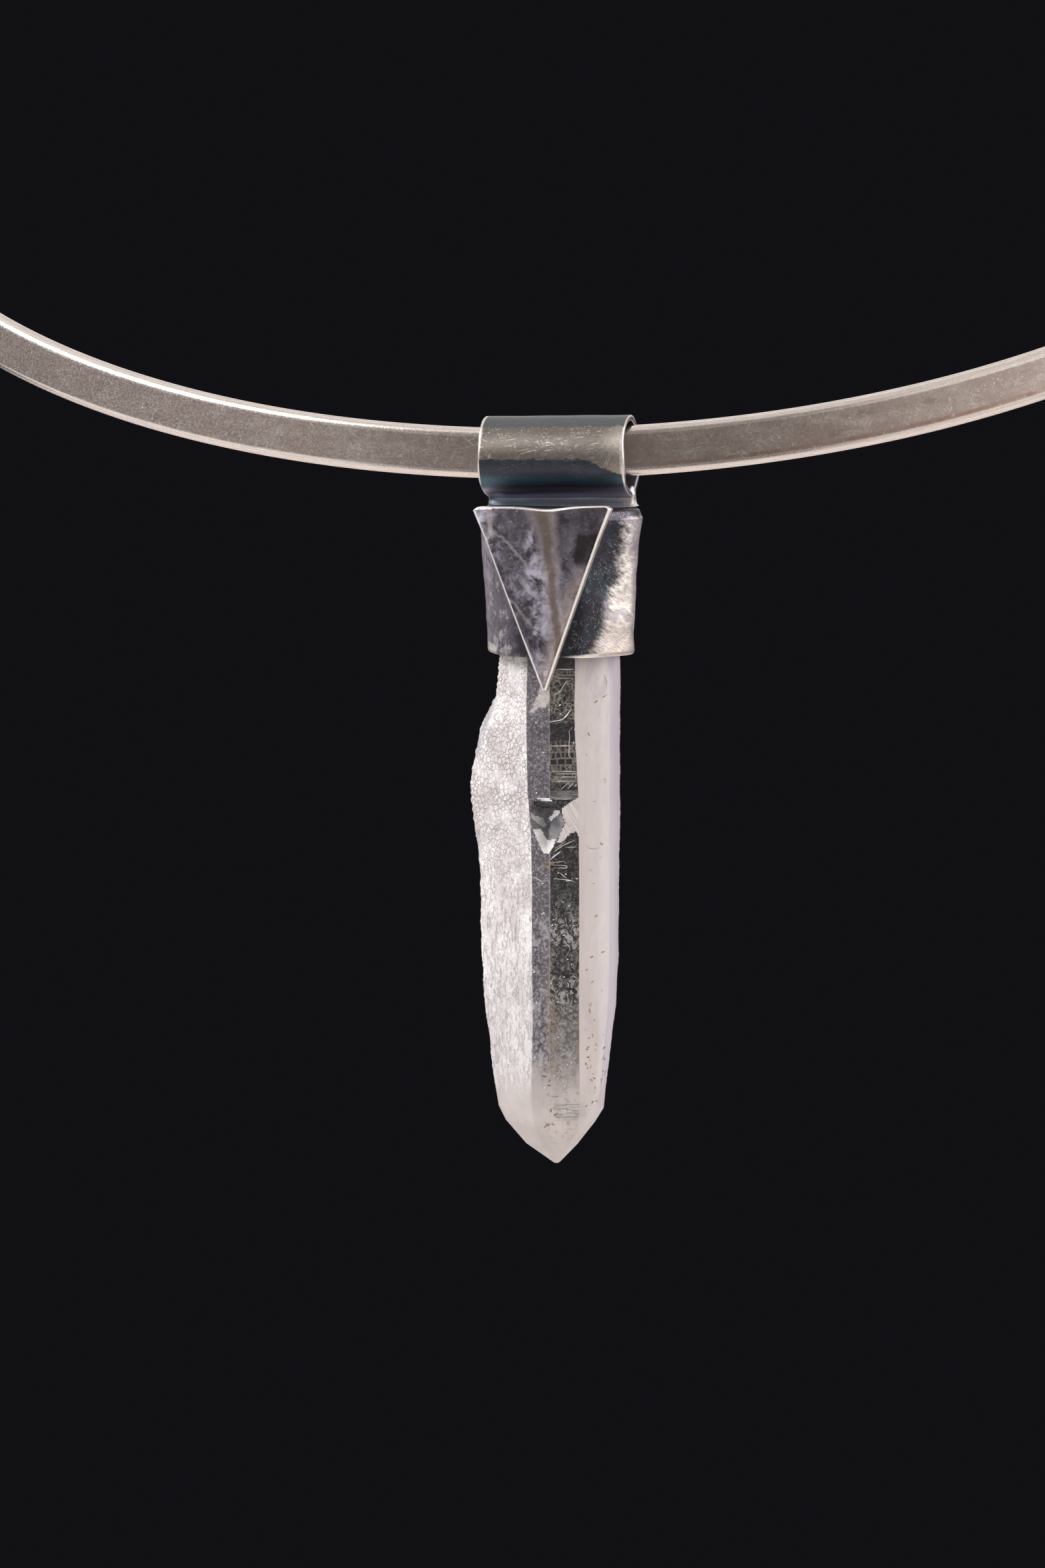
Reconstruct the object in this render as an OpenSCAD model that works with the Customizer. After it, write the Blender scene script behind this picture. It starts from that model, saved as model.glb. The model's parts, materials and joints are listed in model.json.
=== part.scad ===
// A natural quartz point in a hammered silver cap, on a rigid silver neck ring.
// The neck ring is an open hoop of rounded strip that slopes down to the front.
// The cap, its folded bail and the triangular plate on its front are soldered together.
// The origin is the middle of the hoop, +Z is up and the front faces -Y.

/* [Neck ring] */
// Radius of the hoop's centre line
ring_r = 68; // [60:1:75]
// Height of the strip that the hoop is made of
strip_h = 3.9; // [3.5:0.1:3.9]
// Thickness of that strip
strip_t = 1.6; // [1.2:0.1:1.6]
// Rounding of the strip's edges
strip_edge = 0.6; // [0.5:0.05:0.7]
// Slope of the hoop, front low
ring_slope = 27.6; // [20:0.1:32]
// Lean of the hoop, right side up, which the bail and the plate follow
ring_lean = 1.3; // [0:0.1:1.5]
// Width of the opening between the hoop's ends, at the back of the neck
ring_opening = 28; // [20:1:45]

/* [Bail] */
// Length of the bail along the strip
bail_len = 11.6; // [10:0.1:12]
// Radius of the bail's bore
bore_r = 2.65; // [2.65:0.05:2.8]
// Thickness of the bail's sheet
sheet_t = 0.45; // [0.4:0.05:0.6]
// Turn of the pendant on the strip, right end forwards
pendant_turn = 7.5; // [0:0.5:8]
// Distance that the bore's centre lies behind the strip's centre line
bail_back = 0.2; // [0.1:0.05:0.25]
// Distance that the bore's centre lies below the strip's centre line
bail_drop = 0.2; // [0:0.05:0.2]
// Distance that the middle of the bail's neck lies behind the bore's centre
neck_back = 0.6; // [0:0.1:1]

/* [Cap] */
// Height of the cap's closed top below the bore's centre
cap_top = 3.9; // [3.6:0.1:4.2]
// Thickness of the cap's wall and top
cap_wall = 0.55; // [0.45:0.05:0.6]
// Rounding of the outline, from an oval at 3 to a sharp hexagon at 20
cap_crispness = 8; // [5:1:12]

/* [Plate] */
// Width of the triangular plate along its top edge
plate_w = 10.9; // [9:0.1:11.5]
// Height of the plate from its top edge to its tip
plate_h = 14.5; // [12:0.1:15]
// Thickness of the plate
plate_t = 0.9; // [0.8:0.05:1]
// Radius that the plate is curved to, about a vertical line
plate_curve = 30; // [24:1:60]
// Cut across the plate's two top corners
plate_corner = 0.5; // [0.3:0.1:0.8]
// Cut across the plate's tip
plate_tip = 0.3; // [0.2:0.1:0.6]
// Distance of the plate's face in front of the bore's centre
plate_front = 5.7; // [5.6:0.05:5.8]
// Distance that the plate's top edge stands above the cap's top
plate_rise = 0.3; // [0:0.1:0.5]
// Distance of the plate's middle to the right of the bail's middle
plate_shift = -0.2; // [-0.3:0.1:0.3]

/* [Crystal] */
// Turn of the crystal in the cap, its front faces towards the right
crystal_turn = 14.5; // [12:0.5:16]
// Distance that the crystal's middle lies behind the bore's centre
crystal_back = 0.35; // [0.3:0.05:0.4]
// Depth of the chip out of the crystal's front ridge
chip_depth = 0.75; // [0.3:0.05:1]

/* [Hidden] */

bail_r = bore_r + sheet_t;
neck_t = 2 * sheet_t;
end_r = 0.6 * strip_h; // radius of the strip's round ends
end_skim = 0.1; // how much shorter the filing leaves the strip
join = 0.3; // how deep soldered pieces run into each other
cut = 1; // how far a cutting shape runs past what it cuts
round_fn = 96;
small_fn = 48;
cap_sides = 48;

// The cap's outline at a few heights: height below the bore's centre, then its reach to each side.
DOWN = 0;
LEFT = 1;
RIGHT = 2;
FRONT = 3;
BACK = 4;
CAP_ROWS = [
    // down  left  right front back
    [ 3.90, 5.65, 5.95, 4.40, 4.90],
    [ 4.10, 6.00, 6.35, 4.75, 5.25],
    [ 4.70, 6.20, 6.60, 4.90, 5.40],
    [ 6.00, 6.20, 6.40, 4.95, 5.35],
    [ 7.60, 6.15, 6.25, 4.95, 5.40],
    [ 9.30, 6.05, 6.15, 4.90, 5.30],
    [11.30, 5.85, 6.00, 4.90, 5.35],
    [13.60, 5.75, 5.95, 4.85, 5.30],
    [15.30, 5.65, 5.95, 4.85, 5.30],
];

// The crystal's outline at a few heights. It has six faces. Its front face is bent along a low ridge,
// and the face to the right of that along a low step. The columns after the height are where those
// upright edges lie, from the left to the right, and the last one is half the depth.
EDGE_A = 2;
RIDGE = 3;
EDGE_B = 4;
STEP = 5;
FAR_RIGHT = 6;
HALF_DEEP = 7;
CRYSTAL_ROWS = [
    // down   left   edge   ridge  edge   step  right  half depth
    [ 4.80, -4.20, -2.30, -0.70,  1.20,  3.10,  4.30, 3.75],
    [16.90, -4.70, -2.50, -0.75,  1.20,  3.55,  4.78, 4.05],
    [18.80, -4.95, -2.55, -0.75,  1.15,  3.65,  4.75, 4.15],
    [21.30, -6.20, -2.55, -0.75,  1.20,  3.65,  4.75, 4.25],
    [25.70, -6.95, -2.45, -0.75,  1.45,  3.65,  4.75, 4.35],
    [28.90, -6.60, -2.20, -0.70,  1.50,  3.65,  4.78, 4.35],
    [33.00, -6.10, -2.12, -0.70,  1.54,  3.65,  4.68, 4.35],
    [39.20, -6.05, -2.12, -0.70,  1.54,  3.65,  4.65, 4.35],
    [43.00, -5.80, -2.05, -0.75,  1.54,  3.60,  4.48, 4.20],
    [49.60, -4.95, -2.20, -0.70,  1.60,  3.05,  3.66, 3.55],
    [51.10, -4.70, -2.10, -0.65,  1.55,  2.80,  3.52, 3.20],
    [52.20, -4.15, -1.90, -0.60,  1.35,  2.30,  2.85, 2.55],
    [54.00, -2.55, -1.25, -0.40,  0.75,  1.15,  1.45, 1.40],
    [55.40, -0.50, -0.35, -0.20, -0.05,  0.05,  0.10, 0.25],
];
// Where each edge lies between the back, at 1, and the front, at -1, going round from the left.
EDGE_DEPTHS = [0.30, -0.90, -1.00, -1.00, -0.42, 0.00, 0.88, 0.90];
// How far out the two back edges lie, as a share of the reach on their own side.
BACK_SHARE = 0.48;

// The chip is a bite out of the front ridge, shaped by a ball of radius chip_r.
chip_down = 28.6; // height of its middle below the bore's centre
chip_x = -0.4;
chip_r = 2.6;
chip_face = 4.35; // how far the ridge lies in front of the crystal's middle there

function total(values) = values * [for (v = values) 1];

// Reach of a hexagon with rounded corners, at an angle from +X, for faces that lie 1 from the middle.
function hexagon_reach(angle, crispness) = pow(
    total([for (face = [-90:60:210]) pow(max(0, cos(angle - face)), crispness)]), -1 / crispness);

function cap_outline(row, inset) = [
    for (i = [0:cap_sides - 1])
    let (angle = 360 * i / cap_sides)
    let (reach = hexagon_reach(angle, cap_crispness))
    let (wide = hexagon_reach(0, cap_crispness))
    let (side = (cos(angle) < 0 ? row[LEFT] : row[RIGHT]) - inset)
    let (deep = (sin(angle) < 0 ? row[FRONT] : row[BACK]) - inset)
    [side * reach * cos(angle) / wide, deep * reach * sin(angle), -row[DOWN]]
];

function crystal_outline(row) =
    let (middle = (row[EDGE_A] + row[EDGE_B]) / 2)
    let (across = [row[LEFT], row[EDGE_A], row[RIDGE], row[EDGE_B], row[STEP], row[FAR_RIGHT],
                   middle + BACK_SHARE * (row[FAR_RIGHT] - middle),
                   middle + BACK_SHARE * (row[LEFT] - middle)])
    [for (i = [0:len(across) - 1]) [across[i], EDGE_DEPTHS[i] * row[HALF_DEEP], -row[DOWN]]];

// A closed solid through level outlines that have the same number of points, listed from the top down.
module skin(outlines) {
    n = len(outlines[0]);
    last = len(outlines) - 1;
    points = [for (outline = outlines) for (p = outline) p];
    sides = [
        for (k = [0:last - 1], i = [0:n - 1])
        let (j = (i + 1) % n)
        each [[k * n + i, k * n + j, (k + 1) * n + j], [k * n + i, (k + 1) * n + j, (k + 1) * n + i]]
    ];
    top = [for (i = [n - 1:-1:0]) i];
    bottom = [for (i = [0:n - 1]) last * n + i];
    polyhedron(points, concat([top, bottom], sides), convexity = 6);
}

// The strip's section: a flat bar with rounded edges, its thickness along X.
module strip_section() {
    square([strip_t, strip_h - 2 * strip_edge], center = true);
    square([strip_t - 2 * strip_edge, strip_h], center = true);
    for (x = [-1, 1], y = [-1, 1])
        translate([x * (strip_t / 2 - strip_edge), y * (strip_h / 2 - strip_edge)])
            circle(strip_edge, $fn = small_fn);
}

// What is filed off the strip's end to make it round.
// The strip ends at y = 0 here, with its thickness along X.
module filed_off() {
    rotate([0, 90, 0])
        linear_extrude(2 * strip_h, center = true)
            difference() {
                translate([-strip_h, -end_r]) square([2 * strip_h, end_r + cut]);
                translate([0, -end_r - end_skim]) circle(end_r, $fn = round_fn);
            }
}

// The hoop lies level here, its strip leaning in, so that the strip stands upright at the front
// once the hoop slopes.
module hoop() {
    half_gap = asin(ring_opening / 2 / ring_r);
    difference() {
        rotate([0, 0, 90 + half_gap])
            rotate_extrude(angle = 360 - 2 * half_gap, $fn = round_fn)
                translate([ring_r, 0]) rotate(ring_slope) strip_section();
        for (side = [0, 1])
            mirror([side, 0, 0])
                rotate([0, 0, 90 - half_gap])
                    translate([ring_r, 0, 0])
                        rotate([0, -ring_slope, 0])
                            filed_off();
    }
}

module with_ring_lean() {
    rotate([0, -ring_lean, 0]) children();
}

module in_ring_place() {
    with_ring_lean() rotate([ring_slope, 0, 0]) children();
}

// Puts a piece of the pendant, drawn round the bore's centre, where the bail hangs on the strip.
module in_pendant_place() {
    front = [0, -ring_r * cos(ring_slope), -ring_r * sin(ring_slope)];
    hung = [-front.z * sin(ring_lean), front.y + bail_back, front.z * cos(ring_lean) - bail_drop];
    translate(hung) rotate([0, 0, -pendant_turn]) children();
}

// A sheet folded round the strip, its two edges brought together in a short neck.
module bail() {
    rotate([90, 0, 90])
        translate([0, 0, -bail_len / 2])
            linear_extrude(bail_len)
                difference() {
                    union() {
                        circle(bail_r, $fn = round_fn);
                        translate([neck_back - neck_t / 2, -cap_top - join])
                            square([neck_t, cap_top + join]);
                    }
                    circle(bore_r, $fn = round_fn);
                }
}

// A cap closed at the top, hammered round the crystal's shoulders.
module cap() {
    inner_rows = [for (row = CAP_ROWS) if (row[DOWN] > cap_top + cap_wall) row];
    first = inner_rows[0];
    last = inner_rows[len(inner_rows) - 1];
    difference() {
        skin([for (row = CAP_ROWS) cap_outline(row, 0)]);
        skin(concat(
            [[for (p = cap_outline(first, cap_wall)) [p.x, p.y, -cap_top - cap_wall]]],
            [for (row = inner_rows) cap_outline(row, cap_wall)],
            [[for (p = cap_outline(last, cap_wall)) [p.x, p.y, p.z - cut]]]
        ));
    }
}

// A triangular plate with its point down, curved about a vertical line.
module plate() {
    top = plate_rise - cap_top;
    half = plate_w / 2;
    slope = plate_h / half;
    outline = [
        [-half + plate_corner, top],
        [half - plate_corner, top],
        [half - plate_corner / 3, top - plate_corner],
        [plate_tip / 2, top - plate_h + slope * plate_tip / 2],
        [-plate_tip / 2, top - plate_h + slope * plate_tip / 2],
        [-half + plate_corner / 3, top - plate_corner],
    ];
    translate([plate_shift, 0, 0])
        intersection() {
            rotate([90, 0, 0]) linear_extrude(plate_front + cut) polygon(outline);
            translate([0, plate_curve - plate_front, top - plate_h - cut])
                difference() {
                    cylinder(r = plate_curve, h = plate_h + 2 * cut, $fn = 4 * round_fn);
                    translate([0, 0, -cut])
                        cylinder(r = plate_curve - plate_t, h = plate_h + 4 * cut, $fn = 4 * round_fn);
                }
        }
}

module neck_ring() {
    color("#8a7c70") in_ring_place() hoop();
}

module setting() {
    color("#4a4a55") in_pendant_place() {
        with_ring_lean() {
            bail();
            plate();
        }
        cap();
    }
}

module crystal() {
    color("#e9e4e2")
        in_pendant_place()
            rotate([0, 0, crystal_turn])
                translate([0, crystal_back, 0])
                    difference() {
                        skin([for (row = CRYSTAL_ROWS) crystal_outline(row)]);
                        translate([chip_x, chip_depth - chip_face - chip_r, -chip_down])
                            sphere(chip_r, $fn = small_fn);
                    }
}

neck_ring();
setting();
crystal();
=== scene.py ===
# %% [markdown]
# # A quartz pendant on a silver neck ring
#
# A natural quartz point sits in a hammered, blackened silver cap. A folded sheet of silver
# makes the bail, a triangular plate is soldered to the cap's front, and the whole pendant
# hangs and swings on a rigid, open neck ring of rounded silver strip.
#
# The pieces' sizes and places come from a model that was made before. We load it first,
# and then build each piece's looks round it.

# %% The frame
import json
import math

import bmesh
import bpy
import numpy as np
from mathutils import Matrix, Vector, noise


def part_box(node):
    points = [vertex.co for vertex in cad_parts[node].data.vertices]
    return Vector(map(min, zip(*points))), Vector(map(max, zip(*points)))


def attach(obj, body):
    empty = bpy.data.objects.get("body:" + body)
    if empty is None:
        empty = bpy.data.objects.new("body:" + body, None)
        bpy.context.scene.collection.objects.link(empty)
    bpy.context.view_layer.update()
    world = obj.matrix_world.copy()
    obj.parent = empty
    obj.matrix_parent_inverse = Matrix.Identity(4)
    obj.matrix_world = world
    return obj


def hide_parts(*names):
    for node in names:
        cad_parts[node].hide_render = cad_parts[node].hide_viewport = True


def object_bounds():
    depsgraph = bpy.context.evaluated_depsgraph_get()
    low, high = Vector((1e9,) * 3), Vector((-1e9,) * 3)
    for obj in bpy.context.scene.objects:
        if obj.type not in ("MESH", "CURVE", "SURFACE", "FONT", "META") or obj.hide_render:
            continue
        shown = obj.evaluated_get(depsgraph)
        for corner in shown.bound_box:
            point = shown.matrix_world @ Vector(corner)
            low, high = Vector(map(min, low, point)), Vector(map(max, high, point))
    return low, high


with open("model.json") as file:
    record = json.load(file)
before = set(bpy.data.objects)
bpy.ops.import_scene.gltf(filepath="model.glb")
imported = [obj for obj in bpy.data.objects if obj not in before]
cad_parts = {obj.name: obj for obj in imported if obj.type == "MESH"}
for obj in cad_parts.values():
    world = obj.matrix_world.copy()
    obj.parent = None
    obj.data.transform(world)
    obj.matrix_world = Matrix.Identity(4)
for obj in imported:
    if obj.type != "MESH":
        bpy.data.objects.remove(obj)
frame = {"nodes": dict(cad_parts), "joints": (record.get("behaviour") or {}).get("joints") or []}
cad_low, cad_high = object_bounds()
print("pieces in the frame:", sorted(frame["nodes"]))
print("size in mm:", [round(1000 * v, 1) for v in cad_high - cad_low])

# %% [markdown]
# ## Where things are
#
# The pendant turns about the middle of its bail's bore. That joint gives us three places at
# once: the point that it hangs from, how far it is turned on the ring, and how far the ring
# leans. Each silver piece and the crystal is then drawn in millimetres round that point, and
# one matrix takes it to its place in metres.

# %% Places
MM = 0.001

swing = frame["joints"][0]
hung = Vector(swing["pos_m"])
bore_axis = Vector(swing["axis"]).normalized()
pendant_turn = math.atan2(-bore_axis.y, bore_axis.x)
ring_lean = math.asin(bore_axis.z)

PENDANT = Matrix.Translation(hung) @ Matrix.Rotation(-pendant_turn, 4, "Z") @ Matrix.Scale(MM, 4)
LEANING = PENDANT @ Matrix.Rotation(-ring_lean, 4, "Y")

CRYSTAL_TURN = math.radians(14.5)
CRYSTAL_BACK = 0.35  # how far the crystal's middle lies behind the bore's, in mm
CRYSTAL = (
    PENDANT
    @ Matrix.Rotation(CRYSTAL_TURN, 4, "Z")
    @ Matrix.Translation((0, CRYSTAL_BACK, 0))
)
print("pendant turned by", round(math.degrees(pendant_turn), 2), "degrees")

# %% [markdown]
# ## The camera
#
# The photo was taken with a long lens, a little from the right and from above. We describe
# it by its angle and by the point of the picture where the bail's middle shows. The camera
# is then shifted sideways in space, and not in its lens, until that point falls there.

# %% The camera
PHOTO_WIDE, PHOTO_HIGH = 1568, 2352
SENSOR_MM = 36.0
CAMERA_AZIMUTH = math.radians(7.0)
CAMERA_ELEVATION = math.radians(6.5)
CAMERA_AWAY = 0.460  # along the view, from the bail to the camera
PX_PER_M = 19400.0  # scale of the picture at the bail
BAIL_PX = (839.2, 683.5)


def link(data, name):
    """Puts a new object with its data in the scene."""
    made = bpy.data.objects.new(name, data)
    bpy.context.scene.collection.objects.link(made)
    return made


def direction(azimuth, elevation):
    """The way towards an angle, where azimuth 0 is in front and 90 degrees is on the right."""
    level = math.cos(elevation)
    return Vector((math.sin(azimuth) * level, -math.cos(azimuth) * level, math.sin(elevation)))


def make_camera():
    """The camera, placed so that the bail shows where the photo has it."""
    back = direction(CAMERA_AZIMUTH, CAMERA_ELEVATION)
    right = Vector((math.cos(CAMERA_AZIMUTH), math.sin(CAMERA_AZIMUTH), 0))
    up = back.cross(right)
    data = bpy.data.cameras.new("camera")
    data.sensor_width = SENSOR_MM
    data.lens = SENSOR_MM * PX_PER_M * CAMERA_AWAY / PHOTO_HIGH
    data.clip_start, data.clip_end = 0.01, 20
    sideways = (BAIL_PX[0] - PHOTO_WIDE / 2) / PX_PER_M
    below = (BAIL_PX[1] - PHOTO_HIGH / 2) / PX_PER_M
    place = hung + back * CAMERA_AWAY - right * sideways + up * below
    camera = link(data, "camera")
    turn = Matrix((right, up, back)).transposed().to_4x4()
    camera.matrix_world = Matrix.Translation(place) @ turn
    bpy.context.scene.camera = camera
    print("lens", round(data.lens, 1), "mm, camera at", [round(v, 3) for v in place])


make_camera()

# %% [markdown]
# ## Light
#
# Silver shows what is round it. The picture's metal is dim in front, bright where it turns
# up, and has one strong streak on the upper left edge. So the light is a strong soft panel
# high on the left, a gentler one on the right, dim ones overhead, in front, behind and low at
# the sides, and a pale floor far below that throws some light up. The air round it all is
# nearly black.

# %% Light panels
LOOK_AT = hung + Vector((0, 0, -0.025))
WHITE = (1.0, 0.985, 0.99)
WARM = (1.0, 0.96, 0.93)
PANELS = (
    # name, azimuth, elevation, metres away, size, glow, colour
    ("left_key", -70, 37, 0.60, (0.50, 0.22), 12.2, WHITE),
    ("right_key", 94, 24, 0.60, (0.45, 0.45), 4.8, WARM),
    ("overhead", -7, 74, 0.65, (1.60, 0.95), 0.82, WARM),
    ("behind_top", 173, 40, 0.80, (1.20, 1.15), 0.9, WARM),
    ("front_fill", -7, 8, 0.90, (1.30, 0.90), 0.30, WARM),
    ("right_fill", 55, 2, 0.80, (0.70, 0.85), 0.92, WARM),
    ("left_low", -66, -22, 0.75, (0.90, 0.45), 1.15, WHITE),
    ("left_rim", -122, 8, 0.70, (0.50, 0.50), 0.80, WHITE),
)


def make_panel(name, azimuth, elevation, away, size, glow, colour):
    """A soft light panel that faces the pendant. Its glow is how bright it looks in silver."""
    data = bpy.data.lights.new(name, "AREA")
    data.shape = "RECTANGLE"
    data.size, data.size_y = size
    data.energy = glow * math.pi * size[0] * size[1]
    data.color = colour
    towards = direction(math.radians(azimuth), math.radians(elevation))
    panel = link(data, name)
    panel.location = LOOK_AT + towards * away
    panel.rotation_euler = towards.to_track_quat("Z", "Y").to_euler()
    panel.visible_camera = False


for panel in PANELS:
    make_panel(*panel)

# %% [markdown]
# ## Helpers for node trees
#
# A material or a Geometry Nodes tree is a net of small nodes, and to make them one by one is
# long to write and hard to read. So what comes out of a node is wrapped as a Value, and a sum
# with values, such as `a * 0.5 + b`, makes the nodes for it. These helpers work in both kinds
# of tree.

# %% Node helpers


class Value:
    """What comes out of a node. A sum that is written with it becomes a node too."""

    def __init__(self, socket):
        self.socket = socket

    def __add__(self, other):
        return sum_of("ADD", self, other)

    def __sub__(self, other):
        return sum_of("SUBTRACT", self, other)

    def __mul__(self, other):
        return sum_of("MULTIPLY", self, other)

    def __truediv__(self, other):
        return sum_of("DIVIDE", self, other)

    def __radd__(self, other):
        return sum_of("ADD", other, self)

    def __rsub__(self, other):
        return sum_of("SUBTRACT", other, self)

    def __rtruediv__(self, other):
        return sum_of("DIVIDE", other, self)

    def __abs__(self):
        return sum_of("ABSOLUTE", self)


def plug(value, socket):
    """Gives a node's input a number, a tuple, or what comes out of another node."""
    if isinstance(value, bpy.types.Node):
        value = value.outputs[0]
    elif isinstance(value, Value):
        value = value.socket
    if isinstance(value, bpy.types.NodeSocket):
        socket.id_data.links.new(value, socket)
    elif socket.type == "VECTOR" and isinstance(value, (int, float)):
        socket.default_value = (value, value, value)
    elif socket.type == "RGBA":
        socket.default_value = (*value, 1)
    else:
        socket.default_value = value


def add(tree, kind, settings=(), **inputs):
    """A new node with its settings and inputs. An underscore in a name stands for a space."""
    made = tree.nodes.new(kind)
    for name, value in dict(settings).items():
        setattr(made, name, value)
    for name, value in inputs.items():
        plug(value, made.inputs[name.replace("_", " ")])
    return made


def after(value, kind, settings=(), **inputs):
    """What comes out first of a new node in the tree that a value belongs to."""
    return Value(add(value.socket.id_data, kind, settings, **inputs).outputs[0])


def sum_of(operation, *values):
    """One node for a sum with numbers, places or colours."""
    sockets = [v.socket for v in values if isinstance(v, Value)]
    wide = any(s.type in ("VECTOR", "RGBA") for s in sockets) or tuple in map(type, values)
    made = add(sockets[0].id_data, "ShaderNodeVectorMath" if wide else "ShaderNodeMath")
    made.operation = operation
    for socket, value in zip(made.inputs, values):
        plug(value, socket)
    return Value(made.outputs[0])


def smaller(first, second):
    """The smaller of two numbers."""
    return sum_of("MINIMUM", first, second)


def larger(first, *others):
    """The largest of some numbers."""
    for other in others:
        first = sum_of("MAXIMUM", first, other)
    return first


def fade(value, start, end, low=0.0, high=1.0):
    """Runs smoothly from low to high as value goes from start to end."""
    return after(
        value, "ShaderNodeMapRange", {"interpolation_type": "SMOOTHSTEP"},
        Value=value, From_Min=start, From_Max=end, To_Min=low, To_Max=high,
    )


def parts_of(place):
    """The three numbers of a place."""
    made = add(place.socket.id_data, "ShaderNodeSeparateXYZ", Vector=place)
    return [Value(s) for s in made.outputs]


def place_from(x=0.0, y=0.0, z=0.0):
    """A place from its three numbers."""
    first = next(v for v in (x, y, z) if isinstance(v, Value))
    return after(first, "ShaderNodeCombineXYZ", X=x, Y=y, Z=z)


def turned(place, angle, location=(0, 0, 0)):
    """A place that is turned about Y, so that a pattern read there slants on the front."""
    return after(
        place, "ShaderNodeMapping", Vector=place, Location=location, Rotation=(0, angle, 0))


def cloudy(place, scale, detail=2.0, roughness=0.5, twist=0.0):
    """Soft noise from 0 to 1."""
    return after(
        place, "ShaderNodeTexNoise",
        Vector=place, Scale=scale, Detail=detail, Roughness=roughness, Distortion=twist,
    )


def cells(place, scale, feature="F1", **softness):
    """A pattern of cells: the distance to the nearest cell's middle, or to its edge."""
    settings = {"feature": feature}
    return after(place, "ShaderNodeTexVoronoi", settings, Vector=place, Scale=scale, **softness)


def mixed(share, first, second):
    """A colour between two others."""
    made = add(share.socket.id_data, "ShaderNodeMix", {"data_type": "RGBA"}, Factor=share)
    plug(first, made.inputs[6])
    plug(second, made.inputs[7])
    return Value(made.outputs[2])


def layered(colour, *layers):
    """A colour with others laid over it in turn, each with the share that it covers."""
    for share, over in layers:
        colour = mixed(share, colour, over)
    return colour


def new_tree(name, inputs, outputs, kind="ShaderNodeTree"):
    """An empty tree with named sockets, where an input has a value or only a kind."""
    tree = bpy.data.node_groups.new(name, kind)
    for socket, value in inputs.items():
        kinds = {float: "Float", int: "Int", tuple: "Color", str: value}
        made = tree.interface.new_socket(
            socket, in_out="INPUT", socket_type="NodeSocket" + kinds[type(value)])
        if not isinstance(value, str):
            made.default_value = (*value, 1) if isinstance(value, tuple) else value
    for socket, socket_kind in outputs.items():
        tree.interface.new_socket(socket, in_out="OUTPUT", socket_type="NodeSocket" + socket_kind)
    given = {s.name: Value(s) for s in add(tree, "NodeGroupInput").outputs if s.name}
    return tree, given, add(tree, "NodeGroupOutput").inputs


def use_group(group, place, **values):
    """Puts a group in the tree that a place belongs to, and returns what comes out of it."""
    made = add(place.socket.id_data, "ShaderNodeGroup", {"node_tree": group}, Place=place, **values)
    given = [Value(s) for s in made.outputs]
    return given if len(given) > 1 else given[0]


def own_place(material, location, turn):
    """Object coordinates, turned and scaled to millimetres in a piece's own frame."""
    place = Value(add(material.node_tree, "ShaderNodeTexCoord").outputs["Object"])
    return after(
        place, "ShaderNodeMapping", {"vector_type": "TEXTURE"},
        Vector=place, Location=location, Rotation=(0, 0, turn), Scale=MM,
    )


def painted(material, name):
    """A number that a piece keeps on its points or faces, read in a material."""
    made = add(material.node_tree, "ShaderNodeAttribute", {"attribute_name": name})
    return Value(made.outputs["Fac"])


def new_material(name, **constants):
    """A material with one Principled shader, and the values that are the same all over it."""
    material = bpy.data.materials.new(name)
    material.use_nodes = True
    for socket, value in constants.items():
        plug(value, material.node_tree.nodes["Principled BSDF"].inputs[socket.replace("_", " ")])
    return material


def new_silver(name, metallic):
    """A material of the pendant's silver, and a place in the pendant's frame."""
    material = new_material(name, Metallic=metallic)
    return material, own_place(material, hung, -pendant_turn)


def coat(material, colour, height=None, depth_mm=0.0, rough=None):
    """Gives a material its colour, its fine relief and, where that varies, its roughness."""
    shader = material.node_tree.nodes["Principled BSDF"].inputs
    plug(colour, shader["Base Color"])
    if height is not None:
        bump = after(height, "ShaderNodeBump", Distance=depth_mm * MM, Height=height)
        plug(bump, shader["Normal"])
    if rough is not None:
        plug(rough, shader["Roughness"])
    return material


# %% [markdown]
# ## Effects that several finishes share
#
# Blackened silver is silver with a thin dark skin, rubbed off where hands and cloth reach.
# One group makes that on every silver piece: a mask says how far the skin is rubbed through,
# and noise breaks the mask's edge up, as rubbing does. A second group draws fine scratches.

# %% Rubbed silver


def make_rubbed_silver():
    """Group: bare silver that shows through a dark skin."""
    tree, given, out = new_tree(
        "rubbed silver",
        {"Place": "Vector", "Rubbed": 0.5, "Bare": (0.7, 0.66, 0.62), "Skin": (0.05, 0.055, 0.07),
         "Fray": 0.35, "Size": 1.0},
        {"Color": "Color", "Roughness": "Float"},
    )
    coarse = cloudy(given["Place"], given["Size"], 4.0, 0.62, 0.4)
    fine = cloudy(given["Place"], given["Size"] * 5.0, 3.0, 0.65)
    pushed = (coarse * 0.65 + fine * 0.35 - 0.5) * given["Fray"]
    bare = fade(given["Rubbed"] + pushed * 2.0, 0.35, 0.65)
    tone = fade(fine, 0.25, 0.75, 0.88, 1.07)
    plug(mixed(bare, given["Skin"], given["Bare"]) * tone, out["Color"])
    plug(fade(fine, 0.2, 0.8, 0.34, 0.46) - bare * 0.08, out["Roughness"])
    return tree


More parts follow.
